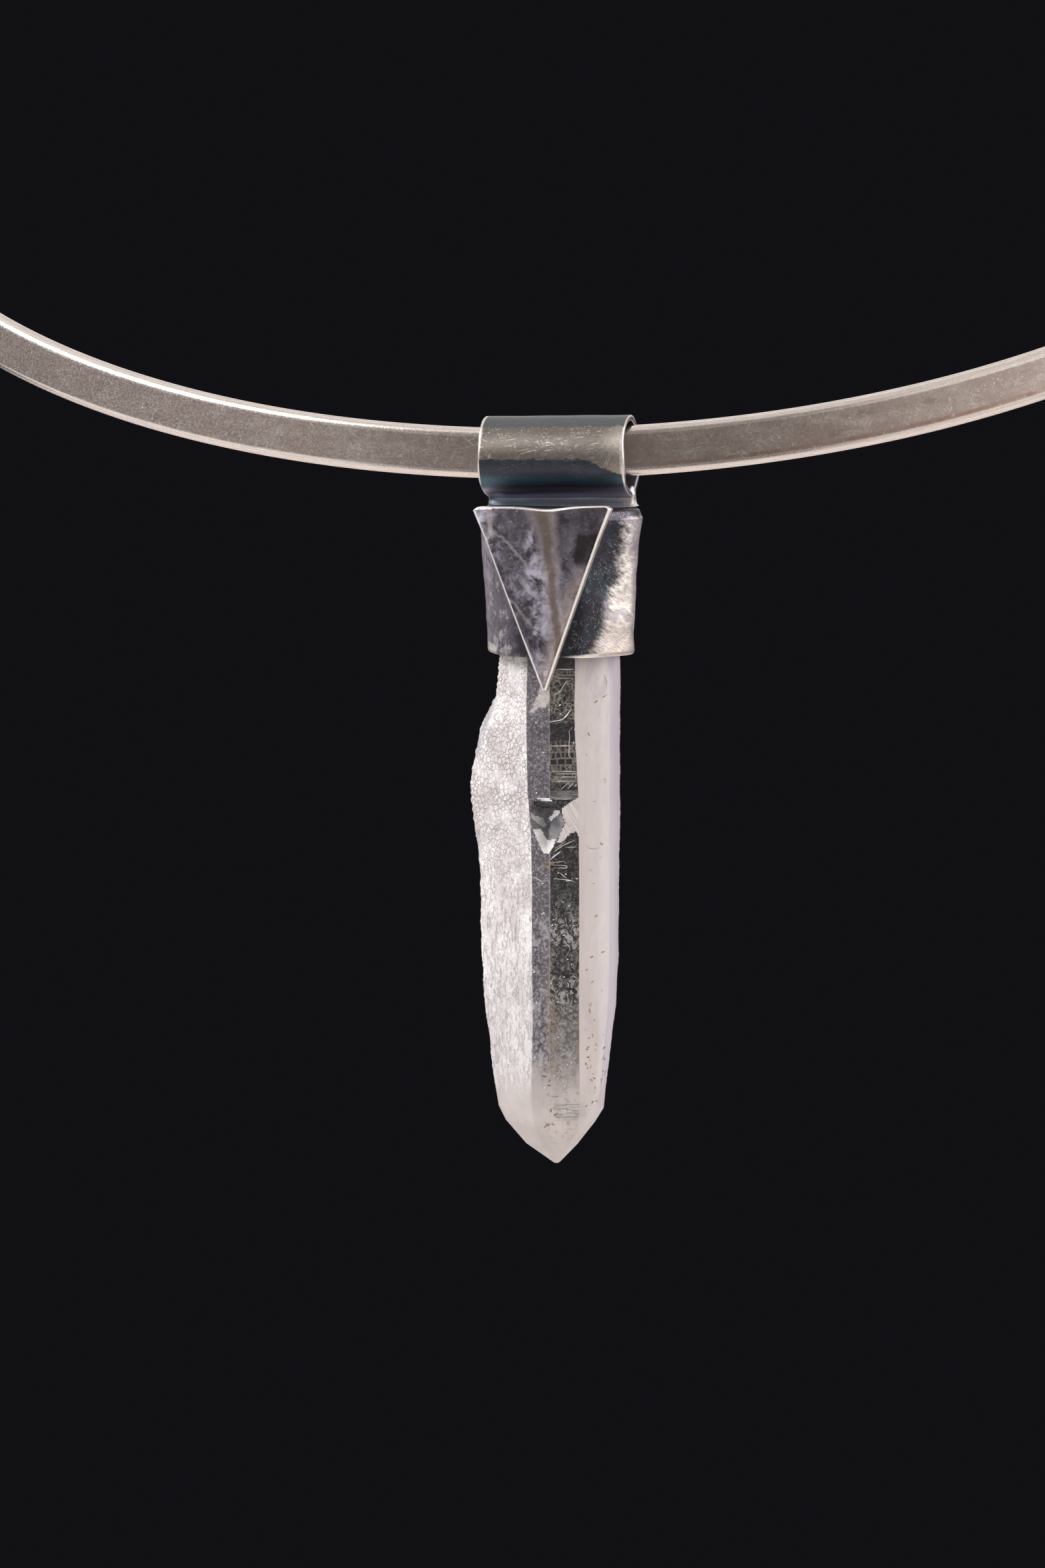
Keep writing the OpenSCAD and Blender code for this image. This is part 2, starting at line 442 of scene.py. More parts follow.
def make_scratches():
    """Group: fine scratches that run in a few crossing directions."""
    tree, given, out = new_tree(
        "fine scratches", {"Place": "Vector", "Length": 1.0, "Amount": 0.5}, {"Lines": "Float"})
    lines = []
    for turn, seed in ((0.25, 3.0), (-0.6, 11.0), (1.15, 23.0)):
        place = turned(given["Place"], turn, (seed, seed, seed))
        grain = cloudy(place * (0.45, 9.0, 9.0), given["Length"], 1.0, 0.4, 0.15)
        lines.append(fade(grain, 0.63, 0.7) * fade(cloudy(place, 0.7), 0.45, 0.65))
    plug(sum(lines) * given["Amount"], out["Lines"])
    return tree


RUBBED = make_rubbed_silver()
SCRATCHES = make_scratches()

# %% [markdown]
# ## Helpers for meshes
#
# Most pieces here are skins: rows of points that are joined by four-sided faces. NumPy makes
# the points, and these helpers make the faces. A piece keeps its object at the origin, and its
# place is in its mesh, so that it can ride on a body of the frame.

# %% Mesh helpers


def skin_faces(rows, columns, closed=True):
    """The faces between rows of points, where each row may close round into a ring."""
    last = columns if closed else columns - 1
    i = np.arange(rows - 1)[:, None]
    j = np.arange(last)[None, :]
    k = (j + 1) % columns
    corners = (i * columns + j, i * columns + k, (i + 1) * columns + k, (i + 1) * columns + j)
    return np.stack(corners, -1).reshape(-1, 4).tolist()


def joined(shapes):
    """Several shapes, each its points and its faces, as one."""
    points, faces = [], []
    for some_points, some_faces in shapes:
        faces += [[i + len(points) for i in face] for face in some_faces]
        points += list(some_points)
    return points, faces


def row_at(table, down):
    """What a table's other columns say at a height, on straight lines between its rows."""
    table = np.array(table)
    return [np.interp(down, table[:, 0], column) for column in table[:, 1:].T]


def beside(line):
    """The way to the left of a line on the flat, at each of its points."""
    way = np.gradient(line, axis=0)
    way /= np.linalg.norm(way, axis=1)[:, None]
    return np.stack([-way[:, 1], way[:, 0]], 1)


def make_object(name, points, faces, place=Matrix.Identity(4), merge=True):
    """An object from points, put in its place, with its faces smooth and outwards."""
    mesh = bpy.data.meshes.new(name)
    mesh.from_pydata([tuple(p) for p in np.asarray(points, float)], [], faces)
    shape = bmesh.new()
    shape.from_mesh(mesh)
    if merge:
        bmesh.ops.remove_doubles(shape, verts=shape.verts, dist=1e-4)
    bmesh.ops.recalc_face_normals(shape, faces=shape.faces)
    for face in shape.faces:
        face.smooth = True
    shape.to_mesh(mesh)
    shape.free()
    mesh.transform(place)
    return link(mesh, name)


def paint_points(piece, name, values, domain="POINT"):
    """Keeps one number for each of a piece's points, or faces, under a name."""
    attribute = piece.data.attributes.new(name, "FLOAT", domain)
    attribute.data.foreach_set("value", np.asarray(values, np.float32))


def run_nodes(piece, tree, place, **values):
    """Runs a Geometry Nodes tree on a piece and keeps the result as a plain mesh in its place."""
    modifier = piece.modifiers.new("shape", "NODES")
    modifier.node_group = tree
    for item in tree.interface.items_tree:
        key = item.name.replace(" ", "_")
        if item.item_type == "SOCKET" and item.in_out == "INPUT" and key in values:
            modifier[item.identifier] = values[key]
    graph = bpy.context.evaluated_depsgraph_get()
    result = bpy.data.meshes.new_from_object(
        piece.evaluated_get(graph), preserve_all_data_layers=True, depsgraph=graph)
    piece.modifiers.clear()
    piece.data = result
    piece.data.transform(place)


def finish_shape(tree, geometry, material, out):
    """The last nodes of a tree: real geometry with its material."""
    real = add(tree, "GeometryNodeRealizeInstances", Geometry=geometry)
    plug(add(tree, "GeometryNodeSetMaterial", Geometry=real, Material=material), out["Geometry"])


def finish_piece(piece, material=None, body="pendant"):
    """Makes a piece ride on its body, and gives it its material where it has none yet."""
    if material is not None:
        piece.data.materials.append(material)
    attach(piece, body)
    triangles = sum(len(p.vertices) - 2 for p in piece.data.polygons)
    print(piece.name, "has", triangles, "triangles")
    return piece


# %% [markdown]
# ## World and floor
#
# The world is a plain dark grey, a little blue, as the cloth behind the pendant is. The
# floor is a pale round table top, far enough below to stay out of the picture.

# %% World and floor
FLOOR_BELOW = 0.21  # under the crystal's point, in metres
FLOOR_R = 0.55
FLOOR_SIDES = 128


def make_world():
    """A nearly black world."""
    world = bpy.data.worlds.new("dark_room")
    world.use_nodes = True
    plug((0.0058, 0.0056, 0.0072), world.node_tree.nodes["Background"].inputs["Color"])
    bpy.context.scene.world = world


def make_floor():
    """A round, pale floor."""
    angle = np.linspace(0, math.tau, FLOOR_SIDES, endpoint=False)
    level = np.full_like(angle, cad_low.z - FLOOR_BELOW)
    points = np.stack([FLOOR_R * np.cos(angle), FLOOR_R * np.sin(angle), level], 1)
    floor = make_object("floor", points, [list(range(FLOOR_SIDES))])
    paint = new_material("floor_paint", Base_Color=(0.74, 0.70, 0.69), Roughness=0.7)
    floor.data.materials.append(paint)


make_world()
make_floor()
view = bpy.context.scene.view_settings
view.view_transform = "Standard"

# %% [markdown]
# ## The neck ring
#
# The ring is one strip with rounded edges that runs round most of a circle. That is a rule,
# so Geometry Nodes can sweep it: an arc is the path, a rounded rectangle is the section, and
# Curve to Mesh pulls one along the other. Two things are added to the sweep. The strip leans
# in, so that it stands upright at the front, and its ends are filed round.
#
# The tree also stores how far along the strip each point lies and how high on its section.
# The material reads both, so that the polish follows the strip's edges.

# %% The ring's shape
RING_R = 68.0
STRIP_H = 3.9
STRIP_T = 1.6
STRIP_EDGE = 0.6
RING_SLOPE = math.radians(27.6)
RING_OPENING = 28.0
END_R = 0.6 * STRIP_H
END_SKIM = 0.1  # how far each end stays back
HALF_GAP = math.asin(RING_OPENING / 2 / RING_R) + END_SKIM / RING_R

RING = (
    Matrix.Scale(MM, 4)
    @ Matrix.Rotation(-ring_lean, 4, "Y")
    @ Matrix.Rotation(RING_SLOPE, 4, "X")
)


def stored(tree, geometry, name, kind, value):
    """Keeps a value on the geometry's points under a name."""
    return add(
        tree, "GeometryNodeStoreNamedAttribute", {"data_type": kind, "domain": "POINT"},
        Geometry=geometry, Name=name, Value=value,
    )


def recalled(tree, name, kind="FLOAT"):
    """A value that was kept under a name."""
    made = add(tree, "GeometryNodeInputNamedAttribute", {"data_type": kind}, Name=name)
    return Value(made.outputs[0])


def seen(tree, kind):
    """What each point of the geometry knows of itself: its Position or its Normal."""
    return Value(add(tree, "GeometryNodeInput" + kind).outputs[0])


def make_ring_tree():
    """Geometry Nodes: a strip swept round an open circle, with its ends filed round."""
    tree, given, out = new_tree(
        "swept strip",
        {"Radius": RING_R, "Start": math.pi / 2 + HALF_GAP, "Sweep": math.tau - 2 * HALF_GAP,
         "Height": STRIP_H, "Thickness": STRIP_T, "Edge": STRIP_EDGE, "Lean": RING_SLOPE,
         "End radius": END_R, "Waviness": 0.02, "Points": 900, "Material": "Material"},
        {"Geometry": "Geometry"}, "GeometryNodeTree",
    )
    arc = add(
        tree, "GeometryNodeCurveArc", {"mode": "RADIUS"}, Resolution=given["Points"],
        Radius=given["Radius"], Start_Angle=given["Start"], Sweep_Angle=given["Sweep"],
    )
    place = seen(tree, "Position")
    path = stored(tree, arc, "outward", "FLOAT_VECTOR", sum_of("NORMALIZE", place))
    length = add(tree, "GeometryNodeSplineParameter").outputs["Length"]
    path = stored(tree, path, "along", "FLOAT", length)
    path = add(tree, "GeometryNodeSetCurveNormal", {"mode": "Z_UP"}, Curve=path)

    section = add(
        tree, "GeometryNodeCurvePrimitiveQuadrilateral",
        Width=given["Thickness"], Height=given["Height"],
    )
    section = add(
        tree, "GeometryNodeFilletCurve", {"mode": "POLY"},
        Curve=section, Radius=given["Edge"], Count=6,
    )
    section = add(tree, "GeometryNodeResampleCurve", {"mode": "LENGTH"}, Curve=section, Length=0.14)
    section = stored(tree, section, "across", "FLOAT", parts_of(place)[1] * -1.0)
    lean = place_from(z=given["Lean"] * -1.0)
    section = add(tree, "GeometryNodeTransform", Geometry=section, Rotation=lean)
    strip = add(
        tree, "GeometryNodeCurveToMesh", Curve=path, Profile_Curve=section, Fill_Caps=True,
    )

    # The filed ends: near an end, the strip's height shrinks along a circle.
    along, across = recalled(tree, "along"), recalled(tree, "across")
    near = smaller(along, given["Radius"] * given["Sweep"] - along)
    share = 1.0 - smaller(near / given["End radius"], 1.0)
    reach = sum_of("SQRT", 1.0 - share * share) * given["End radius"]
    kept = smaller(reach / (given["Height"] * 0.5), 1.0)
    inwards = recalled(tree, "outward", "FLOAT_VECTOR") * (sum_of("SINE", given["Lean"]) * -1.0)
    up_strip = inwards + place_from(z=sum_of("COSINE", given["Lean"]))
    shift = up_strip * (across * (kept - 1.0))

    # A hand-bent strip is never quite even: a slow wave, a few hundredths of a millimetre deep.
    sway = (cloudy(place, 0.09) - 0.5) * given["Waviness"]
    offset = shift + seen(tree, "Normal") * sway
    strip = add(tree, "GeometryNodeSetPosition", Geometry=strip, Offset=offset)
    strip = add(tree, "GeometryNodeSetShadeSmooth", Geometry=strip)
    finish_shape(tree, strip, given["Material"], out)
    return tree


# %% [markdown]
# The ring's silver is worn to a warm, brownish satin on its flat face and brighter on its
# rounded edges. A line of reddish tarnish lies above the lower edge on the right.

# %% The ring's finish


def make_ring_silver():
    """Satin silver for the neck ring."""
    material = new_material("satin_silver", Metallic=1.0)
    place = own_place(material, (0, 0, 0), 0)
    across = painted(material, "across")
    edge = fade(abs(across), 1.2, 1.5)
    mottle = cloudy(place * (0.35, 0.35, 1.2), 0.7, 3.0, 0.55)
    silver, rough = use_group(
        RUBBED, place, Rubbed=fade(mottle, 0.3, 0.75, 0.36, 0.46) + edge * 0.5, Fray=0.14, Size=1.3,
        Bare=(0.74, 0.67, 0.62), Skin=(0.36, 0.295, 0.265),
    )
    on_strip = place_from(painted(material, "along"), across)
    drawn = cloudy(on_strip * (0.35, 7.0, 1.0), 1.4, 3.0, 0.6)
    lines = use_group(SCRATCHES, place, Length=1.0, Amount=0.3)
    tarnish = fade(abs(across + 1.12), 0.28, 0.05) * fade(parts_of(place)[0], 4.0, 16.0)
    tarnish = tarnish * fade(cloudy(place, 0.5, 3.0), 0.4, 0.6, 0.4, 0.85)
    smudge = fade(cloudy(on_strip * (0.5, 1.6, 1.0), 0.5, 4.0, 0.65), 0.56, 0.70) * (1.0 - edge)
    colour = layered(
        silver,
        (tarnish, (0.3, 0.17, 0.13)),
        (smudge * 0.5, (0.22, 0.18, 0.165)),
        (fade(drawn, 0.4, 0.62, 0.18, 0.0), (0.3, 0.25, 0.23)),
        (smaller(lines, 0.6), (0.9, 0.86, 0.8)),
    )
    grain = cloudy(place, 4.5, 3.0, 0.7) * 0.4 + drawn
    height = (grain - lines * 0.8) * (1.0 - edge * 0.85)
    return coat(material, colour, height, 0.007, rough - edge * 0.06)


def make_ring():
    """The neck ring, swept by its tree."""
    piece = make_object("neck_ring_strip", np.zeros((1, 3)), [])
    run_nodes(piece, make_ring_tree(), RING, Material=make_ring_silver())
    finish_piece(piece, body="collar")
    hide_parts("neck_ring")
    return piece


ring = make_ring()
ring_low, ring_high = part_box("neck_ring")
made = np.array([v.co for v in ring.data.vertices])
print("ring off the frame by, in mm:", np.round(1000 * (made.min(0) - ring_low), 2),
      np.round(1000 * (made.max(0) - ring_high), 2))

# %% [markdown]
# ## Hammered silver
#
# The cap and the plate were hammered: each blow of a round hammer left a shallow bowl, and
# the bowls meet in low ridges. A Voronoi pattern is made of just such cells, so the tree
# sinks each point by its distance from the nearest cell's middle. A mask that is painted on
# the piece says where the blows fell.

# %% Hammer marks
HAMMER_SPACING = 1.9


def make_hammer_tree():
    """Geometry Nodes: shallow bowls that meet in ridges, sunk into a surface."""
    tree, given, out = new_tree(
        "hammer marks",
        {"Geometry": "Geometry", "Spacing": HAMMER_SPACING, "Depth": 0.1, "Dent depth": 0.1,
         "Seed": 0.0, "Material": "Material"},
        {"Geometry": "Geometry"}, "GeometryNodeTree",
    )
    place = seen(tree, "Position") + place_from(given["Seed"])
    frequency = 1.0 / given["Spacing"]
    bowl = fade(cells(place, frequency, "SMOOTH_F1", Smoothness=0.25), 0.0, 0.75) - 1.0
    dents = cloudy(place, frequency * 0.8) - 0.55
    depth = bowl * given["Depth"] + dents * given["Dent depth"]
    push = seen(tree, "Normal") * (depth * recalled(tree, "hammered"))
    moved = add(tree, "GeometryNodeSetPosition", Geometry=given["Geometry"], Offset=push)
    finish_shape(tree, moved, given["Material"], out)
    return tree


HAMMER = make_hammer_tree()

# %% [markdown]
# ## The cap
#
# The cap is a short sleeve, closed at the top, pressed round the crystal's shoulders, so its
# outline is a rounded hexagon. A formula gives that outline, a short table gives its reach to
# each side at a few heights, and a fine grid between them leaves room for the hammer marks.

# %% The cap's shape
CAP_WALL = 0.55
CAP_TOP = 3.9
CAP_FOOT = 15.3
CAP_INNER_TOP = CAP_TOP + 1.6
CAP_CRISPNESS = 8  # a higher number makes the outline's corners sharper
CAP_COLUMNS = 200
CAP_STEP = 0.11  # from one row of points to the next, down the outside
CAP_INNER_STEP = 0.4
CAP_SEED = 4.0
TOP_FADE, RIM_FADE = 0.7, 0.5  # how far the hammering fades towards the top and the rim
RIM_BLOWS = 0.3  # what is left of it at the rim
CAP_ROWS = (
    # down, left, right, front, back
    (CAP_TOP, 5.65, 5.95, 4.40, 4.90),
    (4.10, 6.00, 6.35, 4.75, 5.25),
    (4.70, 6.20, 6.60, 4.90, 5.40),
    (6.00, 6.20, 6.40, 4.95, 5.35),
    (7.60, 6.15, 6.25, 4.95, 5.40),
    (9.30, 6.05, 6.15, 4.90, 5.30),
    (11.30, 5.85, 6.00, 4.90, 5.35),
    (13.60, 5.75, 5.95, 4.85, 5.30),
    (CAP_FOOT, 5.65, 5.95, 4.85, 5.30),
)


def hexagon_reach(angle, crispness):
    """How far out a hexagon with rounded corners lies, at an angle, with its faces 1 away."""
    faces = np.radians(np.arange(-90, 211, 60))
    facing = np.maximum(0, np.cos(angle[..., None] - faces))
    return (facing ** crispness).sum(-1) ** (-1 / crispness)


def cap_ring(down, inset):
    """One level outline of the cap, drawn in from the outside by inset."""
    left, right, front, back = row_at(CAP_ROWS, down)
    angle = np.linspace(0, math.tau, CAP_COLUMNS, endpoint=False)
    reach = hexagon_reach(angle, CAP_CRISPNESS)
    wide = hexagon_reach(np.zeros(1), CAP_CRISPNESS)[0]
    side = np.where(np.cos(angle) < 0, left, right) - inset
    deep = np.where(np.sin(angle) < 0, front, back) - inset
    x = side * reach * np.cos(angle) / wide
    y = deep * reach * np.sin(angle)
    return np.stack([x, y, np.full_like(x, -down)], 1)


def make_cap_shape():
    """The cap's skin: over the top, down the outside, round the rim and up the inside."""
    rim_r = CAP_WALL / 2
    rings = [cap_ring(CAP_TOP, 0) * (share, share, 1) for share in (0.0, 0.3, 0.6, 0.85)]
    shoulder = np.linspace(CAP_TOP, 4.7, 12)
    wall = np.arange(4.8, CAP_FOOT - rim_r, CAP_STEP)
    rings += [cap_ring(down, 0) for down in [*shoulder, *wall]]
    for angle in np.radians(np.arange(15, 180, 15)):
        down = CAP_FOOT - rim_r + rim_r * math.sin(angle)
        rings.append(cap_ring(down, rim_r * (1 - math.cos(angle))))
    inside = np.arange(CAP_FOOT - rim_r, CAP_INNER_TOP, -CAP_INNER_STEP)
    rings += [cap_ring(down, CAP_WALL) for down in inside]
    inner_top = cap_ring(CAP_INNER_TOP, CAP_WALL)
    inner_top[:, 2] = -(CAP_TOP + CAP_WALL)
    rings += [inner_top, inner_top * (0.02, 0.02, 1)]
    faces = skin_faces(len(rings), CAP_COLUMNS)
    faces.append([(len(rings) - 1) * CAP_COLUMNS + i for i in range(CAP_COLUMNS)])
    return np.concatenate(rings), faces


def cap_blows(piece):
    """How hard each point of the cap was hammered: its outside wall, and not its top or inside."""
    values = []
    for v in piece.data.vertices:
        outward = Vector((v.co.x, v.co.y, 0)).normalized().dot(v.normal)
        from_top = min(1.0, max(0.0, (-v.co.z - CAP_TOP) / TOP_FADE))
        from_rim = min(1.0, max(RIM_BLOWS, (CAP_FOOT + v.co.z) / RIM_FADE))
        values.append(max(0.0, outward) * from_top * from_rim)
    return values


# %% [markdown]
# The cap's skin of oxide is dark and bluish beside the plate, and pale lavender on the far
# left. The right front is rubbed to a cream satin, and so is the rim. Each zone is a mask
# from the place on the cap.

# %% The cap's finish


def make_cap_silver():
    """Blackened silver, rubbed bright on the right front and round the rim."""
    material, place = new_silver("cap_silver", 0.9)
    x, y, z = parts_of(place)
    below_top = fade(z + cloudy(place, 0.9, 3.0) * 0.9, -3.85, -4.45)

    # The rubbed zone starts further to the left the lower it is, and its edge is brushed.
    start = 5.70 + (z + 4.8) * 0.13 + smaller(z + 9.0, 0.0) * 0.12
    strokes = cloudy(turned(place, -0.8) * (0.8, 1.0, 3.0), 1.5, 4.0, 0.65)
    sway = cloudy(place * (0.3, 0.3, 1.0), 0.6)
    past = x - start + (strokes - 0.5) * 1.1 + (sway - 0.5) * 1.2
    top = z + (strokes - 0.5) * 1.2
    cream = fade(past, -0.35, 0.55) * fade(top, -4.35, -4.85) * fade(y, 1.5, -0.2)

    rim = fade(z, -14.75, -15.15) * fade(x, 0.5, 4.5, 0.30, 1.0)
    rim = larger(rim, fade(z, -14.0, -14.9) * fade(x, -3.4, -5.0))
    to_ridge = cells(place + (CAP_SEED, 0, 0), 1 / HAMMER_SPACING, "DISTANCE_TO_EDGE")
    ridges = fade(to_ridge, 0.16, 0.0)
    left = fade(x, -1.8, -3.4) * below_top
    blue = fade(cloudy(place * (1.6, 1.0, 0.4), 0.9, 3.0), 0.45, 0.65) * fade(x, -3.4, -2.4)
    lavender = mixed(fade(x, -4.5, -5.3), (0.175, 0.152, 0.188), (0.36, 0.31, 0.38))
    spots = fade(cloudy(place, 1.5, 4.0, 0.7), 0.46, 0.62)
    worn_left = left * fade(cloudy(place, 1.3, 3.0, 0.6), 0.50, 0.66)
    skin = layered(
        (0.044, 0.042, 0.052),
        (blue, (0.046, 0.062, 0.078)),
        (left, mixed(spots * 0.6, lavender, (0.062, 0.056, 0.070))),
        (worn_left * fade(z, -7.0, -11.0, 0.10, 0.65), (0.66, 0.59, 0.60)),
        (1.0 - below_top, (0.066, 0.062, 0.078)),
    )
    silver, rough = use_group(
        RUBBED, place, Rubbed=larger(rim * 0.9, ridges * 0.24 * below_top), Fray=0.12, Size=0.6,
        Bare=(0.82, 0.76, 0.73), Skin=skin,
    )

    # The bare zone itself: tan at its foot, lilac at the far edge and in a few worn spots.
    bright = layered(
        (0.60, 0.54, 0.52),
        (fade(strokes, 0.3, 0.62), (0.92, 0.85, 0.81)),
        (fade(z, -11.5, -14.0, 0.0, 0.65), (0.5, 0.43, 0.39)),
        (fade(cloudy(place + (3.0, 0, 1.0), 0.75), 0.52, 0.64, 0.0, 0.65), (0.44, 0.4, 0.46)),
        (fade(x, 5.85, 6.10, 0.0, 0.6), (0.4, 0.36, 0.43)),
    )
    lines = use_group(SCRATCHES, place, Length=1.1, Amount=0.5)
    colour = layered(silver, (cream, bright), (smaller(lines, 0.22), (0.7, 0.67, 0.66)))
    height = cloudy(place, 3.2, 4.0, 0.65) + strokes * cream
    return coat(material, colour, height, 0.03, rough + cream * 0.1)


def make_cap():
    """The hammered cap."""
    piece = make_object("cap", *make_cap_shape())
    paint_points(piece, "hammered", cap_blows(piece))
    silver = make_cap_silver()
    run_nodes(piece, HAMMER, PENDANT, Depth=0.065, Dent_depth=0.12, Seed=CAP_SEED, Material=silver)
    return finish_piece(piece)


cap = make_cap()

# %% [markdown]
# ## The triangular plate
#
# The plate is a thin triangle, point down, bent a little about a vertical line. Its front is
# hammered too, and its edges are filed to a narrow bright bevel. The grid that makes it runs
# from side to side and from the top to the tip, and each point knows how far it is from the
# nearest edge. That distance rounds the bevel, fades the hammering and later polishes it.

# %% The plate's shape
PLATE_W = 10.9
PLATE_H = 14.5
PLATE_T = 0.9
PLATE_CURVE = 30.0
PLATE_FRONT = 5.7
PLATE_TOP = -3.6
PLATE_SHIFT = -0.2
PLATE_TIP = 0.3
PLATE_BEVEL = 0.27
BEVEL_DEPTH = 0.15
PLATE_TOP_EDGE = 1.8  # how much narrower the bevel is along the top
PLATE_SAG = 0.22  # of the top edge, in its middle
PLATE_CORNER = 0.28  # how far the corners are rounded down
PLATE_EASE = 2.5  # below the top, where the sag has faded out
PLATE_CALM = 0.45  # along the edges, where the hammering fades
PLATE_COLUMNS, PLATE_ROWS = 121, 131
PLATE_SEED = 17.0


def plate_grid():
    """Points over the triangle, with each point's distance from the nearest edge."""
    v = np.linspace(0, 1, PLATE_ROWS)[:, None] * (1 - PLATE_TIP / PLATE_W)
    u = np.sin(np.linspace(-1, 1, PLATE_COLUMNS) * math.pi / 2)[None, :]
    half = PLATE_W / 2 * (1 - v)
    x = u * half
    drop = v * PLATE_H + 0 * u
    # The top edge sags a little in the middle, and its corners are rounded.
    sag = PLATE_SAG * np.exp(-((x - 0.4) / 1.6) ** 2)
    side = (half - np.abs(x)) * PLATE_H / math.hypot(PLATE_H, PLATE_W / 2)
    top = (PLATE_TOP_EDGE - 0.9 * np.exp(-((x - 1.6) / 2.0) ** 2)) * drop
    corner = PLATE_CORNER * np.clip(1 - side / 0.5, 0, 1) ** 2
    z = PLATE_TOP - drop - (sag + corner) * np.clip(1 - drop / PLATE_EASE, 0, 1)
    return x, z, np.minimum(side, top)


def make_plate_shape():
    """The plate with rounded edges. Each point also says how near the edge it is, and its blows."""
    x, z, edge = plate_grid()
    near = np.clip(1 - edge / PLATE_BEVEL, 0, 1)
    blows = np.clip(edge / PLATE_CALM - 0.3, 0, 1)
    curve = PLATE_CURVE - PLATE_FRONT
    front = curve - np.sqrt(PLATE_CURVE ** 2 - x ** 2) + BEVEL_DEPTH * near ** 2
    back = curve - np.sqrt((PLATE_CURVE - PLATE_T) ** 2 - x ** 2)
    points = np.concatenate([
        np.stack([x + PLATE_SHIFT, y, z], -1).reshape(-1, 3) for y in (front, back)
    ])
    faces = skin_faces(PLATE_ROWS, PLATE_COLUMNS, closed=False)
    faces += [[x.size + i for i in reversed(face)] for face in faces]
    index = np.arange(x.size).reshape(x.shape)
    border = [*index[0], *index[1:, -1], *index[-1, -2::-1], *index[-2:0:-1, 0]]
    for a, b in zip(border, border[1:] + border[:1]):
        faces.append([a, b, x.size + b, x.size + a])
    near = np.append(near, np.ones_like(near))
    blows = np.append(blows, np.zeros_like(blows))
    return points, faces, near, blows


def make_plate_silver():
    """Dark, cloudy patina on the hammered face and a bright filed edge."""
    material, place = new_silver("plate_silver", 0.8)
    x, _, z = parts_of(place)
    drift = cloudy(place, 0.8, 3.0, 0.6) - 0.5
    u = x + drift * 1.3
    w = z + drift * 1.6

    # Lavender clouds gather beside the streak, along the left edge and lower down.
    clouds = fade(cloudy(place, 0.62, 5.0, 0.7, 0.4), 0.40, 0.66)
    near_streak = fade(abs(u + 0.20), 1.6, 0.4) * fade(w, -4.6, -5.6)
    gathered = larger(near_streak, fade(u, -3.0, -4.3), fade(w, -7.5, -10.0, 0.14, 0.50))
    mottle = fade(cloudy(place, 2.4, 4.0, 0.7), 0.48, 0.72)
    slip = drift * 0.7
    dark = fade(x + slip, 2.5, 2.8) * fade(z + slip, -8.2, -7.8) * fade(z + slip, -5.5, -5.9)
    colour = layered(
        (0.074, 0.064, 0.078),
        (clouds * gathered * 0.95, (0.74, 0.70, 0.85)),
        (mottle * fade(w, -5.0, -8.5, 0.28, 0.42), (0.44, 0.41, 0.48)),
        (dark * 0.85, (0.036, 0.030, 0.034)),
    )
    # Two faint ridges run down to the right, between the hammer's blows.
    for across, down, turn in ((-3.33, -5.9, 0.80), (-3.33, -9.9, 0.86)):
        along = x * math.cos(turn) - z * math.sin(turn)
        reach = along - across * math.cos(turn) + down * math.sin(turn)
        off = (x - across) * math.sin(turn) + (z - down) * math.cos(turn) + drift * 0.8
        ridge = fade(abs(off), 0.20, 0.03) * fade(reach, -0.4, 0.2) * fade(reach, 4.1, 3.4)
        colour = mixed(ridge * 0.40, colour, (0.56, 0.50, 0.54))
    # Near the right edge the oxide is worn to tan, and at the top left to a pink strip.
    from_right = x - 5.25 - (z + 3.6) * 0.376
    tan = fade(from_right + drift * 1.5, -1.5, -0.3) * fade(z, -7.4, -9.6)
    strip = fade(abs(x + 4.12 + drift * 0.4), 0.34, 0.10) * fade(w, -6.6, -5.8)
    # A brown streak runs down the middle, a little to the right as it falls. Its pale borders are
    # partly lavender cloud and partly a painted highlight.
    sway = (cloudy(place, 0.5) - 0.5) * 0.8 + (cloudy(place, 1.8, 4.0, 0.65) - 0.5) * 0.45
    off = abs(x - 0.32 + (z + 3.8) * 0.085 + fade(z, -6.8, -3.8, 0.0, 0.35) + sway)
    off = off / fade(z, -7.5, -3.8, 1.0, 1.6)
    colour = layered(
        colour,
        (tan * (mottle * 0.3 + 0.5), (0.50, 0.41, 0.35)),
        (strip * 0.6, (0.58, 0.49, 0.47)),
        # Painted highlight, in part: the streak's pale borders.
        (fade(off, 1.0, 0.45) * 0.42, (0.54, 0.47, 0.49)),
        (fade(off, 0.46, 0.12) * 0.85, (0.200, 0.150, 0.120)),
        (fade(cells(place, 1.6), 0.10, 0.05) * 0.6, (0.62, 0.58, 0.56)),
    )
    silver, rough = use_group(
        RUBBED, place, Rubbed=fade(painted(material, "edge"), 0.26, 0.66), Fray=0.12, Size=1.4,
        Bare=(0.93, 0.87, 0.83), Skin=colour,
    )
    return coat(material, silver, cloudy(place, 3.5, 4.0, 0.6), 0.02, rough)


def make_plate():
    """The triangular plate on the cap's front."""
    points, faces, near, blows = make_plate_shape()
    piece = make_object("plate", points, faces, merge=False)
    paint_points(piece, "edge", near)
    paint_points(piece, "hammered", blows)
    silver = make_plate_silver()
    run_nodes(piece, HAMMER, LEANING, Depth=0.12, Dent_depth=0.14, Seed=PLATE_SEED, Material=silver)
    return finish_piece(piece)


plate = make_plate()

# %% [markdown]
# ## The bail
#
# The bail is one sheet, folded round the strip until its two edges meet in a short neck that
# is soldered to the cap. Its section is a single line: up the front leg, over in a smooth
# bend, round the bore, and down the back leg. The sheet's two faces lie half its thickness
# to each side of that line, and the section is drawn out along the strip.

